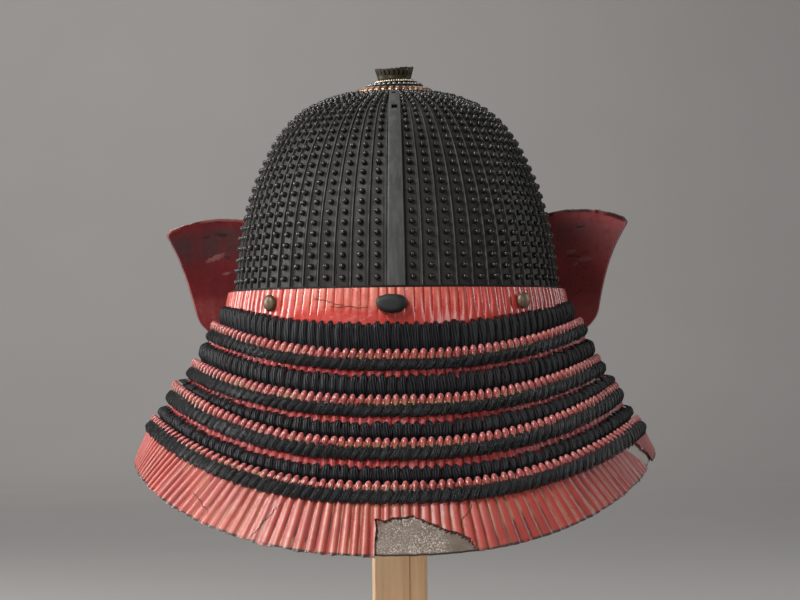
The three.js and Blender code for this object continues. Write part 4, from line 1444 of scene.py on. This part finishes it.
def makeLowestPlate():
    # the iron under the coat, bare where the coat is missing
    look, lame = chip, lames[4]
    top, short = look["plateTop"], look["plateShort"]

    def plateAt(u, v):
        angle = lameAngle(lame, u)
        bottom = blendAt(lame["edge"], angle) - short
        bottom = bottom - endCorner(angle, np.minimum(u, 1 - u) * lame["length"])
        angle = angle + fan(lame, angle, bottom * (1 - v))
        worn = waves(88, u * 60, 0.3, 1.2) * 0.25
        drop = top + (bottom - top + worn * (v < 0.01)) * (1 - v)
        return lamePoint(lame, angle, drop, -brokenDepth())

    plate, u, v = addSheet("lame5Plate", 200, 16, plateAt)
    degrees = np.degrees(lameAngle(lame, u))
    paint(plate, "chalk", np.where(degrees > look["plainFrom"], look["plainChalk"], 1.0)
          * np.where(degrees > look["scrapedFrom"], look["scrapedChalk"], 1.0))
    drop = top + (blendAt(lame["edge"], np.radians(degrees)) - (top + short)) * (1 - v)
    paint(plate, "scraps", np.clip((look["scrapsTo"] - degrees) / 1.4, 0, 1)
          * np.clip((look["scrapsDrop"] - drop) / 3, 0, 1))
    paint(plate, "rim", np.where(v < 0.01, 1.0, 0.0))
    thicken(plate, look["plateWall"])
    smooth(plate, 40)
    return finishPiece(plate, barePlate, "red_lacquer", "lame_5")


def makePaintedChipShadow():
    # a painted shadow: a dark strip on the bare plate just inside the broken edge of the missing coat, where
    # that edge casts shade
    look, lame = chip, lames[4]
    unit = degreeLength()
    made = []
    for index, (outline, (first, last)) in enumerate(zip(look["outlines"], look["brokenParts"])):
        path = np.array(outline[first:last + 1], float) * (unit, 1)
        lengths = pathLengths(path)
        middle = np.mean(np.array(outline, float), axis=0)[0] * unit

        def pointAt(u, v, path=path, lengths=lengths, middle=middle, index=index):
            length = u * lengths[-1]
            x, y = np.interp(length, lengths, path[:, 0]), np.interp(length, lengths, path[:, 1])
            width = look["shadowWidth"] * (0.75 + 0.4 * waves(index + 70, length, 0.1, 0.5)).clip(0.3, 1.5)
            x = x + np.sign(middle - x) * np.clip(np.abs(middle - x) / 20, 0, 0.8) * width * v
            out = -brokenDepth() + 0.75 * (1 - v) + 0.12
            return lamePoint(lame, np.radians(x / unit), y + width * v, out)

        piece, _, _ = addSheet(f"paintedChipShadow{index}", max(int(lengths[-1] / 0.4), 8), 3, pointAt)
        thicken(piece, 0.1)
        made.append(piece)
    piece = joinPieces("paintedChipShadow", made)
    return finishPiece(piece, crackAndShadowDark, "red_lacquer", "lame_5")


cracks = {
    "width": 0.50, "lift": 0.12,
    # lame number, then degrees from the back and drop
    "lines": [
        (4, [(15.2, 14.6), (15.7, 17.6), (15.5, 19.1), (14.5, 21.6), (13.25, 25.1),
             (13.0, 28.1), (13.2, 31.1), (13.1, 35.1)]),
        (4, [(-23.9, 18), (-25.3, 22.5), (-25.7, 25.5), (-27.3, 30.5), (-27.9, 35.5), (-29.3, 41.5)]),
        (4, [(-46.6, 27.2), (-44.9, 29), (-43.7, 29.8), (-42.8, 32), (-41.3, 33.2), (-40.3, 35.5)]),
        (0, [(-27.9, 3.0), (-27.2, 6.5), (-24.6, 7.4), (-22.4, 8.2), (-19.5, 10.5), (-16.6, 10.8)]),
        (0, [(-21.5, 11.5), (-18.5, 12.4), (-15.0, 11.6), (-12.0, 13.0), (-9.0, 12.4)]),
    ],
}


def makeCracks():
    look = cracks
    made = []
    for index, (number, corners) in enumerate(look["lines"]):
        unit = lames[number]["reachX"] * math.pi / 180
        path = np.array(corners, float) * (unit, 1)
        lengths = pathLengths(path)

        def pointAt(u, v, path=path, lengths=lengths, number=number, unit=unit, index=index):
            length = u * lengths[-1]
            x = np.interp(length, lengths, path[:, 0]) + 0.25 * waves(index, length, 0.2, 0.6)
            y = np.interp(length, lengths, path[:, 1]) + 0.25 * waves(index + 9, length, 0.2, 0.6)
            width = look["width"] * np.sin(np.clip(u, 0.03, 0.97) * math.pi) ** 0.3 * (v - 0.5)
            across, down = np.abs(path[-1] - path[0])
            x, y = (x, y + width) if across > down else (x - width, y)
            angle = unfan(lames[number], np.radians(x / unit), y)
            return lameFace(number, placeAtAngle(number, angle), y, look["lift"])

        piece, _, _ = addSheet(f"crack{index}", max(int(lengths[-1] / 0.5), 8), 1, pointAt)
        thicken(piece, 0.1)
        made.append(piece)
    piece = joinPieces("lacquerCracks", made)
    return finishPiece(piece, crackAndShadowDark, "red_lacquer", "lame_1")


# Silk: the laces between two lames, and the braid that covers the lacing of each lame

laces = {
    "pitch": 6.5, "halfWidth": 2.75, "halfThickness": 1.9, "sides": 10, "parts": 10,
    "outTop": 1.2, "outMiddle": [3.3, 4.3, 5.2, 4.6], "outTuck": 1.9, "tuckDepth": 5.0, "setback": 0.5,
    "lean": [0.3, 0.6, 0.9, 0.9], "restless": [0.5, 0.8, 1.1, 1.0],
    "smallWidth": 0.62, "smallBack": 1.15, "smallDrop": 1.6,
}


def makeLaces(row):
    look, upper, lower = laces, lames[row], lames[row + 1]
    count = round((lower["length"] - 2 * look["setback"]) / look["pitch"])
    source = np.random.default_rng(20 + row)
    made = []
    for small in (False, True):
        total = count - 1 if small else count
        random = source.normal(size=(6, total)).clip(-1.8, 1.8)
        restless = look["restless"][row]
        place = (np.arange(total) + (1.0 if small else 0.5) + 0.05 * restless * random[0]) / count
        model = addRod(8 if small else look["sides"], look["parts"])
        points = readVertices(model) / mm

        def placeAt(which, local, total=total, random=random, place=place, small=small, restless=restless):
            y = local[:, 1]
            # rounded where it comes out, full below
            narrow = np.interp(y, [0, 0.15, 0.8, 0.9, 0.97, 1.0], [0.9, 1.0, 1.0, 0.92, 0.66, 0.25])
            width = look["halfWidth"] * (look["smallWidth"] if small else 1.0) * (1 + 0.07 * random[1][which])
            x = local[:, 0] * width * narrow
            x = x + look["lean"][row] * (y - 0.5) * 1.2 + restless * 0.5 * random[2][which] * (y - 0.4)
            x = x + restless * 0.35 * np.sin(y * 5 + random[3][which] * 3)
            angle = lameAngle(lower, place[which], look["setback"])
            angle = angle + x / (upper["reachX"] + 12)
            start = blendAt(upper["laces"], angle) + (look["smallDrop"] if small else 0)
            start = start + 0.45 * random[4][which]
            tuck = topLevel(upper, angle) - topLevel(lower, angle)
            drop = start + (tuck + look["tuckDepth"] - start) * (1 - y)
            tuckShare = look["tuckDepth"] / (tuck + look["tuckDepth"] - start)
            low = ease(np.clip((y - tuckShare * 0.6) / 0.3, 0, 1))
            high = np.clip((1 - y) / 0.28, 0, 1)
            high = np.sqrt(np.clip(1 - (1 - high) ** 2, 0, 1))
            out = look["outTuck"] + (look["outMiddle"][row] - look["outTuck"]) * low
            out = look["outTop"] + (out - look["outTop"]) * high + 0.3 * random[5][which] * low
            if small:
                out = out - look["smallBack"]
            thick = look["halfThickness"] * (0.55 + 0.45 * narrow)
            thick = thick * np.interp(y, [0, 0.2, 1], [0.75, 1.0, 1.0])
            return lamePoint(upper, angle, drop, np.maximum(out - local[:, 2] * thick, 0.2))

        piece = copyMany(f"laces{row + 1}{'Small' if small else ''}", model, total, placeAt)
        paint(piece, "across", np.tile(np.arctan2(points[:, 0], -points[:, 2]) * 1.9, total))
        paint(piece, "along", np.tile(points[:, 1] * 14, total))
        made.append(piece)
    piece = joinPieces(f"laces{row + 1}", made)
    return finishPiece(piece, silk, "silk", f"lacing_{row + 1}")


braid = {
    # strands lie side by side and slant over the core; every few of them make a lobe
    "pitch": 1.5, "lobe": 4, "gather": 0.88, "halfHeight": [4.2, 4.4, 4.9, 4.8], "radius": 0.62, "slant": 2.1,
    "depth": 2.9, "foot": 0.35, "lobeDepth": 1.3, "lobeShort": 0.18, "sides": 6, "parts": 7,
    "coreHeight": 3.3, "coreDepth": 1.6, "restless": 0.5,
}


def makeBraid(number):
    look, lame = braid, lames[number]
    total = round(lame["length"] / look["pitch"] / look["lobe"])
    count = total * look["lobe"]
    source = np.random.default_rng(30 + number)
    random = source.normal(size=(5, count)).clip(-1.8, 1.8) * look["restless"]
    lobeRandom = np.repeat(source.normal(size=(3, total)).clip(-1.8, 1.8), look["lobe"], axis=1)
    # -1 to 1 across a lobe, where the strands are gathered towards its middle
    inLobe = (np.arange(count) % look["lobe"] + 0.5) / look["lobe"] * 2 - 1
    place = np.arange(count) // look["lobe"] + 0.5 + inLobe * look["gather"] / 2 + 0.04 * lobeRandom[0]
    place = (place + 0.04 * random[0]) / total
    half = look["halfHeight"][number - 1]
    nearEnd = np.clip(np.minimum(place, 1 - place) * lame["length"] / 6, 0, 1) ** 0.5
    model = addRod(look["sides"], look["parts"])
    points = readVertices(model) / mm
    along = 2 * points[:, 1] - 1

    def placeAt(which, local):
        y = 2 * local[:, 1] - 1
        bow = np.sqrt(np.clip(1 - 0.93 * y ** 2, 0, 1))
        lobe = inLobe[which]
        radius = look["radius"] * (0.55 + 0.45 * bow) * (1 + 0.15 * random[1][which])
        slant = look["slant"] * (1 + 0.1 * random[2][which] + 0.12 * lobeRandom[1][which])
        x = local[:, 0] * radius + slant * (y + 0.12 * np.sin(y * math.pi))
        tall = half * nearEnd[which] * (1 - look["lobeShort"] * lobe ** 2 + 0.05 * random[3][which]
                                        + 0.05 * lobeRandom[2][which])
        angle = lameAngle(lame, place[which]) + x / (lame["reachX"] + 4)
        drop = blendAt(lame["braid"], angle) - y * tall + 0.25 * random[4][which]
        out = look["foot"] + look["depth"] * bow * (1 - 0.25 * (1 - nearEnd[which]))
        out = out - look["lobeDepth"] * lobe ** 2
        return lamePoint(lame, angle, drop, np.maximum(out - local[:, 2] * radius * 0.9, 0.25))

    lobes = copyMany(f"braid{number}Strands", model, count, placeAt,
                     tones=np.clip(0.5 + 0.6 * random[1] - 0.35 * inLobe, 0, 1))
    paint(lobes, "across", np.tile(np.arctan2(points[:, 0], -points[:, 2]), count))
    paint(lobes, "along", np.tile(along * half, count))
    core = addRod(10, 140)
    points = readVertices(core) / mm

    def coreAt():
        angle = lameAngle(lame, points[:, 1], 0.8)
        middle = blendAt(lame["braid"], angle)
        return lamePoint(lame, angle, middle - points[:, 0] * look["coreHeight"],
                         np.maximum(0.9 - points[:, 2] * look["coreDepth"] * 0.6, 0.25))

    placeVertices(core, coreAt())
    paint(core, "across", points[:, 1] * lame["length"])
    paint(core, "along", points[:, 0] * look["coreHeight"])
    paint(core, "tone", 0.2)
    weld(core, 0)
    smooth(core, 60)
    piece = joinPieces(f"braid{number}", [lobes, core])
    return finishPiece(piece, braidSilk, "silk", f"braid_{number}")


makeTopLame()
for number in (1, 2, 3):
    makeLameWall(number)
makeLowestLame()
makeLowestPlate()
makePaintedChipShadow()
for number in (1, 2, 3, 4):
    makeHeads(number)
makeCracks()
print("lames made")
for row in range(4):
    makeLaces(row)
    makeBraid(row + 1)
print("silk made")


# Ear flaps: the ends of the top lame, folded back

flap = {
    "foldRadius": 8, "sweep": -24, "archSpan": 40, "bottomLevel": -28, "cornerShare": 0.15, "cornerCut": 6,
    "tipShare": 0.955, "tipCut": 4.0,
    # left and right aren't quite the same
    "lowReach": {-1: 135.0, 1: 135.8}, "highReach": {-1: 159.8, 1: 161.5}, "peakLevel": {-1: 53.4, 1: 57.8},
    "peakReach": {-1: 120, 1: 127}, "archDrop": {-1: 11.0, 1: 12.5}, "cup": 3.0, "hollow": {-1: 1.5, 1: 3.0},
    # a band of painted reflection across the upper part, the worn lip above it and the worn free end
    "reflectionBand": (0.60, 0.95), "lip": {-1: 0.97, 1: 0.955}, "endWear": {-1: 0.6, 1: 0},
}


def flapArch(side, x):
    # the level of the upper edge at a distance from the middle plane
    look = flap
    share = (x - look["peakReach"][side]) / look["archSpan"]
    return look["peakLevel"][side] - look["archDrop"][side] * share ** 2


def flapPoint(side, u, v):
    look, lame = flap, lames[0]
    end = math.radians(lame["end"])
    corner = look["cornerCut"] * np.clip(1 - v / look["cornerShare"], 0, None) ** 2
    low, high = look["lowReach"][side], look["highReach"][side]
    upper = np.clip((v - look["tipShare"]) / (1 - look["tipShare"]), 0, 1)
    reach = low + (high - low) * v - corner - look["tipCut"] * (1 - np.sqrt(1 - upper ** 2))
    reach = reach - look["hollow"][side] * np.sin(np.clip(v * 1.2 - 0.2, 0, 1) * math.pi)
    startHeading = math.atan2(lame["reachY"] * math.sin(end), lame["reachX"] * math.cos(end))
    endHeading = math.radians(look["sweep"])
    heading = startHeading + (endHeading - startHeading) * np.clip(u, 0, 1)
    x = lame["reachX"] * math.sin(end) + look["foldRadius"] * (math.sin(startHeading) - np.sin(heading))
    y = -lame["reachY"] * math.cos(end) + look["foldRadius"] * (np.cos(heading) - math.cos(startHeading))
    along = np.clip(u - 1, 0, 1)
    travel = (reach - x) * along
    x = x + travel
    y = y + travel * math.tan(endHeading) + look["cup"] * np.sin(along * math.pi) * v
    arch = flapArch(side, x) + 0.18 * waves(17 + side, x, 0.05, 0.2)
    climb = ease(np.clip(u / 0.6, 0, 1))
    top = lame["top"] + (arch - lame["top"]) * climb
    foot = lame["top"] - lame["edge"][1]
    bottom = foot + (look["bottomLevel"] - foot) * climb
    return np.stack([side * x, y, rim + bottom + (top - bottom) * v], axis=-1)


def makeFlap(name, side, material):
    look = flap

    def pointAt(u, v):
        return flapPoint(side, 2 * (u if side > 0 else 1 - u), v)

    piece, u, v = addSheet(name, 60, 44, pointAt)
    along = 2 * (u if side > 0 else 1 - u)
    reflectionFoot, reflectionTop = look["reflectionBand"]
    # painted reflection: across this band the flap turns a greyer brown
    reflectionBand = np.clip((v - reflectionFoot) / 0.1, 0, 1) * np.clip((reflectionTop - v) / 0.06, 0, 1)
    paint(piece, "ridge", 0.5 + reflectionBand * 0.5)
    lip = np.clip((v - look["lip"][side]) / 0.015, 0, 1)
    paint(piece, "edge", np.maximum(lip, np.clip((along - 1.988) / 0.01, 0, 1) * look["endWear"][side]))
    thicken(piece, lameWall)
    roundEdges(piece, 0.5)
    smooth(piece, 40)
    return finishPiece(piece, material, "red_lacquer", "lame_1")


flapMarks = {
    "lift": 0.18, "crackWidth": 0.55,
    # side, then distance from the helmet's middle plane and level above the rim
    "cracks": [
        (1, [(118.6, 19.0), (118.0, 22.0), (119.6, 24.2), (125.4, 24.4), (128.6, 24.0),
             (131.0, 26.6), (134.6, 27.6)]),
        (1, [(123.0, -3.5), (127.0, -1.0), (131.0, 1.2)]),
        (-1, [(123.2, 26.6), (121.0, 27.6), (118.6, 26.0), (116.2, 25.0)]),
        (-1, [(131.5, 50.0), (126.0, 51.2), (121.0, 50.2)]),
    ],
    # side, middle, half length, half height, turn in degrees
    "paleFlakes": [
        (-1, (126.5, 25.5), 7.0, 1.9, -22), (-1, (118.6, 15.0), 3.0, 0.9, -14),
        (1, (122.5, 27.5), 3.6, 1.5, 12), (1, (132.0, 22.0), 5.5, 1.7, 8), (1, (125.0, 18.6), 2.4, 1.0, 30),
    ],
    "darkFlakes": [(-1, (123.0, 42.0), 4.2, 1.4, 6), (-1, (133.0, 40.5), 2.6, 0.8, -10),
                   (1, (129.0, 45.0), 3.0, 0.8, 4)],
}


def flapSpot(side, x, level, out):
    # the place on a flap at a distance from the middle plane and a level above the rim
    look = flap
    start = flapPoint(side, np.ones_like(x), np.full_like(x, 0.5)) * (side, 1, 1)
    v = np.clip((level - look["bottomLevel"]) / (flapArch(side, x) - look["bottomLevel"]), 0, 1)
    tip = flapPoint(side, np.full_like(x, 2.0), v) * (side, 1, 1)
    spot = flapPoint(side, 1 + (x - start[:, 0]) / (tip[:, 0] - start[:, 0]), v)
    spot[:, 1] -= out
    return spot


def makeFlapMarks():
    look = flapMarks
    made = []
    for index, (side, corners) in enumerate(look["cracks"]):
        path = np.array(corners, float)
        lengths = pathLengths(path)

        def crackAt(u, v, side=side, path=path, lengths=lengths, index=index):
            length = u * lengths[-1]
            x = np.interp(length, lengths, path[:, 0]) + 0.2 * waves(index + 40, length, 0.2, 0.6)
            level = np.interp(length, lengths, path[:, 1]) + 0.2 * waves(index + 49, length, 0.2, 0.6)
            width = look["crackWidth"] * np.sin(np.clip(u, 0.03, 0.97) * math.pi) ** 0.4 * (v - 0.5)
            return flapSpot(side, x + 0.5 * width * side, level + width, look["lift"])

        piece, _, _ = addSheet(f"flapCrack{index}", max(int(lengths[-1] / 0.4), 8), 1, crackAt)
        thicken(piece, 0.1)
        made.append(piece)
    finishPiece(joinPieces("flapCracks", made), crackAndShadowDark, "red_lacquer", "lame_1")
    for key, material in (("paleFlakes", paleFlake), ("darkFlakes", crackAndShadowDark)):
        made = []
        for index, (side, middle, halfLength, halfHeight, turn) in enumerate(look[key]):
            turn = math.radians(turn)

            def flakeAt(u, v, side=side, middle=middle, halfLength=halfLength,
                        halfHeight=halfHeight, turn=turn, index=index):
                # rings around the middle with a ragged outline
                angle = u * 2 * math.pi
                ragged = 1 + 0.28 * waves(index + 60, np.cos(angle) * 9 + np.sin(angle) * 5, 0.2, 0.9)
                a, b = v * ragged * halfLength * np.cos(angle), v * ragged * halfHeight * np.sin(angle)
                x = middle[0] + a * math.cos(turn) - b * math.sin(turn)
                level = middle[1] + a * math.sin(turn) + b * math.cos(turn)
                return flapSpot(side, x, level, look["lift"] * (1.1 - 0.9 * v ** 4))

            piece, _, v = addSheet(f"{key}{index}", 40, 6, flakeAt)
            paint(piece, "ridge", 0.9)
            paint(piece, "edge", 0.0)
            weld(piece, 0.005)
            made.append(piece)
        finishPiece(joinPieces(f"flap{key[0].upper()}{key[1:]}", made), material, "red_lacquer", "lame_1")


makeFlap("flapLeft", -1, flapLacquer)
makeFlap("flapRight", 1, rightFlapLacquer)
makeFlapMarks()
print("ear flaps made")


# Rivets, the knob at the back and the visor

fittings = {
    "rivet": {"radius": 5.4, "dome": 3.6, "angle": 44.3, "level": -8.9, "collar": 0.5},
    "knob": {"length": 19.8, "height": 12.4, "depth": 7, "foot": 1.8, "fullness": 4.2, "square": 0.84,
             "taper": 0.12, "angle": -1.5, "level": -10.7},
    "visorRivet": {"radius": 4.0, "dome": 2.8, "angles": (-32, 0, 32), "level": -8},
}


def addDome(name, halfWidth, halfHeight, section, sides=40, square=1.0, taper=0.0):
    # section: share of the radius and distance from the wall, from the foot inwards to the middle
    corners = np.array(section, float)

    def pointAt(u, v):
        radius, out = alongSection(corners, v)
        angle = u * 2 * math.pi
        cos, sin = np.cos(angle), np.sin(angle)
        x, z = np.sign(cos) * np.abs(cos) ** square, np.sign(sin) * np.abs(sin) ** square
        across = radius * halfWidth * x * (1 + taper * (z - 0.35 * z ** 2))
        return np.stack([across, -out, radius * halfHeight * z], axis=-1)

    piece, u, v = addSheet(name, sides, (len(corners) - 1) * 2, pointAt)
    paint(piece, "ridge", 0.3 + 0.6 * v)
    weld(piece, 0.005)
    smooth(piece, 50)
    return piece


def setOnWall(piece, reachX, reachY, degrees, level, out):
    angle = math.radians(degrees)
    turn = math.atan2(reachY * math.sin(angle), reachX * math.cos(angle))
    points = readVertices(piece) / mm
    cos, sin = math.cos(turn), math.sin(turn)
    turned = np.stack([points[:, 0] * cos - points[:, 1] * sin, points[:, 0] * sin + points[:, 1] * cos,
                       points[:, 2]], axis=1)
    placeVertices(piece, turned + ellipsePoint(reachX, reachY, angle, level, out))


def domeSection(depth, foot, power=2.0, count=12):
    # from the back's middle, round the foot and up over the dome
    turn = np.linspace(0, math.pi / 2, count)
    rise = foot + (depth - foot) * np.sin(turn)
    wall = [(0, -0.4), (0.97, -0.4), (1.0, 0.0), (1.0, foot * 0.6)]
    return wall + list(zip(0.985 * np.cos(turn) ** (2 / power), rise))


def makeFittings():
    lame = lames[0]
    look = fittings["rivet"]
    for name, node, sign in (("rivetLeft", "rivet_left", -1), ("rivetRight", "rivet_right", 1)):
        piece = addDome(name, look["radius"], look["radius"], domeSection(look["dome"], look["collar"]))
        spread = lame["flare"] * (lame["top"] - look["level"] + look["radius"])
        setOnWall(piece, lame["reachX"] + spread, lame["reachY"] + spread, sign * look["angle"],
                  look["level"], 0.4)
        finishPiece(piece, rivetMetal, "rivet_brass", node)
    look = fittings["knob"]
    section = domeSection(look["depth"], look["foot"], look["fullness"], 14)
    piece = addDome("backKnob", look["length"] / 2, look["height"] / 2, section, sides=56,
                    square=look["square"], taper=look["taper"])
    spread = lame["flare"] * (lame["top"] - look["level"] + look["height"] / 2)
    setOnWall(piece, lame["reachX"] + spread, lame["reachY"] + spread, look["angle"], look["level"], 0.4)
    finishPiece(piece, knobLacquer, "black_lacquer", "back_knob")
    look = fittings["visorRivet"]
    reach = bowl["profile"][0][0]
    for index, degrees in enumerate(look["angles"]):
        piece = addDome(f"visorRivet{index + 1}", look["radius"], look["radius"],
                        domeSection(look["dome"], 0.5))
        setOnWall(piece, reach, reach * bowl["lengthRatio"], 180 + degrees, look["level"],
                  visor["offset"] + 0.4)
        finishPiece(piece, dullIron, "bowl_iron", f"visor_rivet_{index + 1}")


visor = {
    "end": 54, "wall": 2, "offset": 7,
    "section": [(36, -25), (30, -24.4), (22, -23), (15, -21.2), (9, -18.6), (4, -15.6), (1.2, -12.8),
                (0, -9), (0, -3)],
}


def makeVisor():
    look = visor
    section = np.array(look["section"], float)
    reach = bowl["profile"][0][0]

    def pointAt(u, v):
        out, level = alongSection(section, v)
        angle = math.radians(look["end"]) * (2 * u - 1)
        brim = np.sqrt(np.maximum(1 - (2 * u - 1) ** 2, 0.04))
        return ellipsePoint(reach, reach * bowl["lengthRatio"], angle + math.pi, level,
                            look["offset"] + out * brim)

    piece, u, v = addSheet("visor", 96, 24, pointAt)
    thicken(piece, look["wall"])
    roundEdges(piece, 0.5)
    smooth(piece, 40)
    return finishPiece(piece, bowlIron, "bowl_iron", "visor")


makeFittings()
makeVisor()
print("fittings and visor made")


# Stand: the part's own solids, in wood

for node, material in (("stand_base", flatWood), ("stand_post", uprightWood), ("stand_pad", uprightWood)):
    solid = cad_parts[node]
    solid.data.materials.clear()
    solid.data.materials.append(material)
print("stand finished")


# Studio: a plain floor that sweeps up into the backdrop, soft lights and the camera

studio = {
    "camera": (0.0022, -2.0, 0.2295), "lens": 132.9, "sensor": 36, "pitch": 0.97, "roll": -0.65,
    "floorNear": -3.6, "floorFar": 3.0, "sweep": 1.2, "height": 2.6, "halfWidth": 4.2,
    "lights": [
        # name, place, size, power, colour; each looks at the helmet but the last, which lights the backdrop
        ("keyLight", (-1.25, -1.45, 1.75), (0.9, 0.7), 52, (1.0, 0.985, 0.96)),
        ("leftLight", (-1.5, 0.3, 0.75), (0.20, 1.2), 22, (1.0, 0.99, 0.97)),
        ("rightLight", (1.5, 0.4, 0.7), (0.10, 1.0), 5, (0.97, 0.98, 1.0)),
        ("topLight", (-0.2, 0.3, 1.8), (0.8, 0.4), 4, (1.0, 1.0, 1.0)),
        ("rightFill", (1.2, -1.7, 0.8), (0.6, 0.6), 5.5, (1.0, 0.985, 0.96)),
        ("lowFill", (-0.8, -1.6, 0.12), (0.5, 0.3), 7, (1.0, 0.985, 0.96)),
        ("backdropLight", (-0.8, 2.9, 2.6), (1.8, 0.6), 42, (1.0, 0.985, 0.97)),
    ],
    "world": 0.18, "target": (0, -0.02, 0.26), "backdropTarget": (-0.3, 4.2, 0.6),
}


def makeStudio():
    look = studio
    deselectAll()
    bpy.ops.mesh.primitive_grid_add(x_subdivisions=2, y_subdivisions=60, size=2)
    floor = bpy.context.object
    floor.name = floor.data.name = "studioFloor"
    flat = readVertices(floor)
    straight = look["floorFar"] - look["floorNear"]
    bend = look["sweep"] * math.pi / 2
    length = (flat[:, 1] + 1) / 2 * (straight + bend + look["height"])
    turn = np.clip((length - straight) / look["sweep"], 0, math.pi / 2)
    y = look["floorNear"] + np.minimum(length, straight) + look["sweep"] * np.sin(turn)
    z = look["sweep"] * (1 - np.cos(turn)) + np.maximum(length - straight - bend, 0)
    floor.data.vertices.foreach_set("co", np.stack([flat[:, 0] * look["halfWidth"], y, z], axis=1)
                                    .astype(np.float32).ravel())
    floor.data.update()
    smooth(floor, 60)
    material, nodes, shader = newMaterial("paperSweep")
    place = nodes.place()
    color = nodes.mix(nodes.band(nodes.noise(place, 3.0, 3.0), 0.35, 0.65), rgb(0.312, 0.302, 0.297),
                      rgb(0.320, 0.310, 0.305))
    nodes.put(shader, "Base Color", color)
    shader.inputs["Roughness"].default_value = 0.9
    nodes.put(shader, "Normal", nodes.bump(nodes.noise(place, 900.0, 2.0), 0.05 * mm, 0.3))
    floor.data.materials.append(material)

    for name, place, size, power, color in look["lights"]:
        data = bpy.data.lights.new(name, "AREA")
        data.shape = "RECTANGLE"
        data.size, data.size_y = size
        data.energy = power
        data.color = color
        light = bpy.data.objects.new(name, data)
        light.location = place
        target = look["backdropTarget"] if name == "backdropLight" else look["target"]
        light.rotation_euler = (Vector(target) - Vector(place)).to_track_quat("-Z", "Y").to_euler()
        bpy.context.scene.collection.objects.link(light)
    world = bpy.data.worlds.new("studioWorld")
    world.use_nodes = True
    world.node_tree.nodes["Background"].inputs["Color"].default_value = (0.62, 0.61, 0.60, 1)
    world.node_tree.nodes["Background"].inputs["Strength"].default_value = look["world"]
    bpy.context.scene.world = world

    data = bpy.data.cameras.new("photoCamera")
    data.lens, data.sensor_width = look["lens"], look["sensor"]
    camera = bpy.data.objects.new("photoCamera", data)
    camera.location = look["camera"]
    camera.rotation_euler = (math.radians(90 + look["pitch"]), 0, 0)
    camera.rotation_euler.rotate_axis("Z", math.radians(look["roll"]))
    bpy.context.scene.collection.objects.link(camera)
    bpy.context.scene.camera = camera
    bpy.context.scene.view_settings.view_transform = "Standard"


makeStudio()
print("studio made")
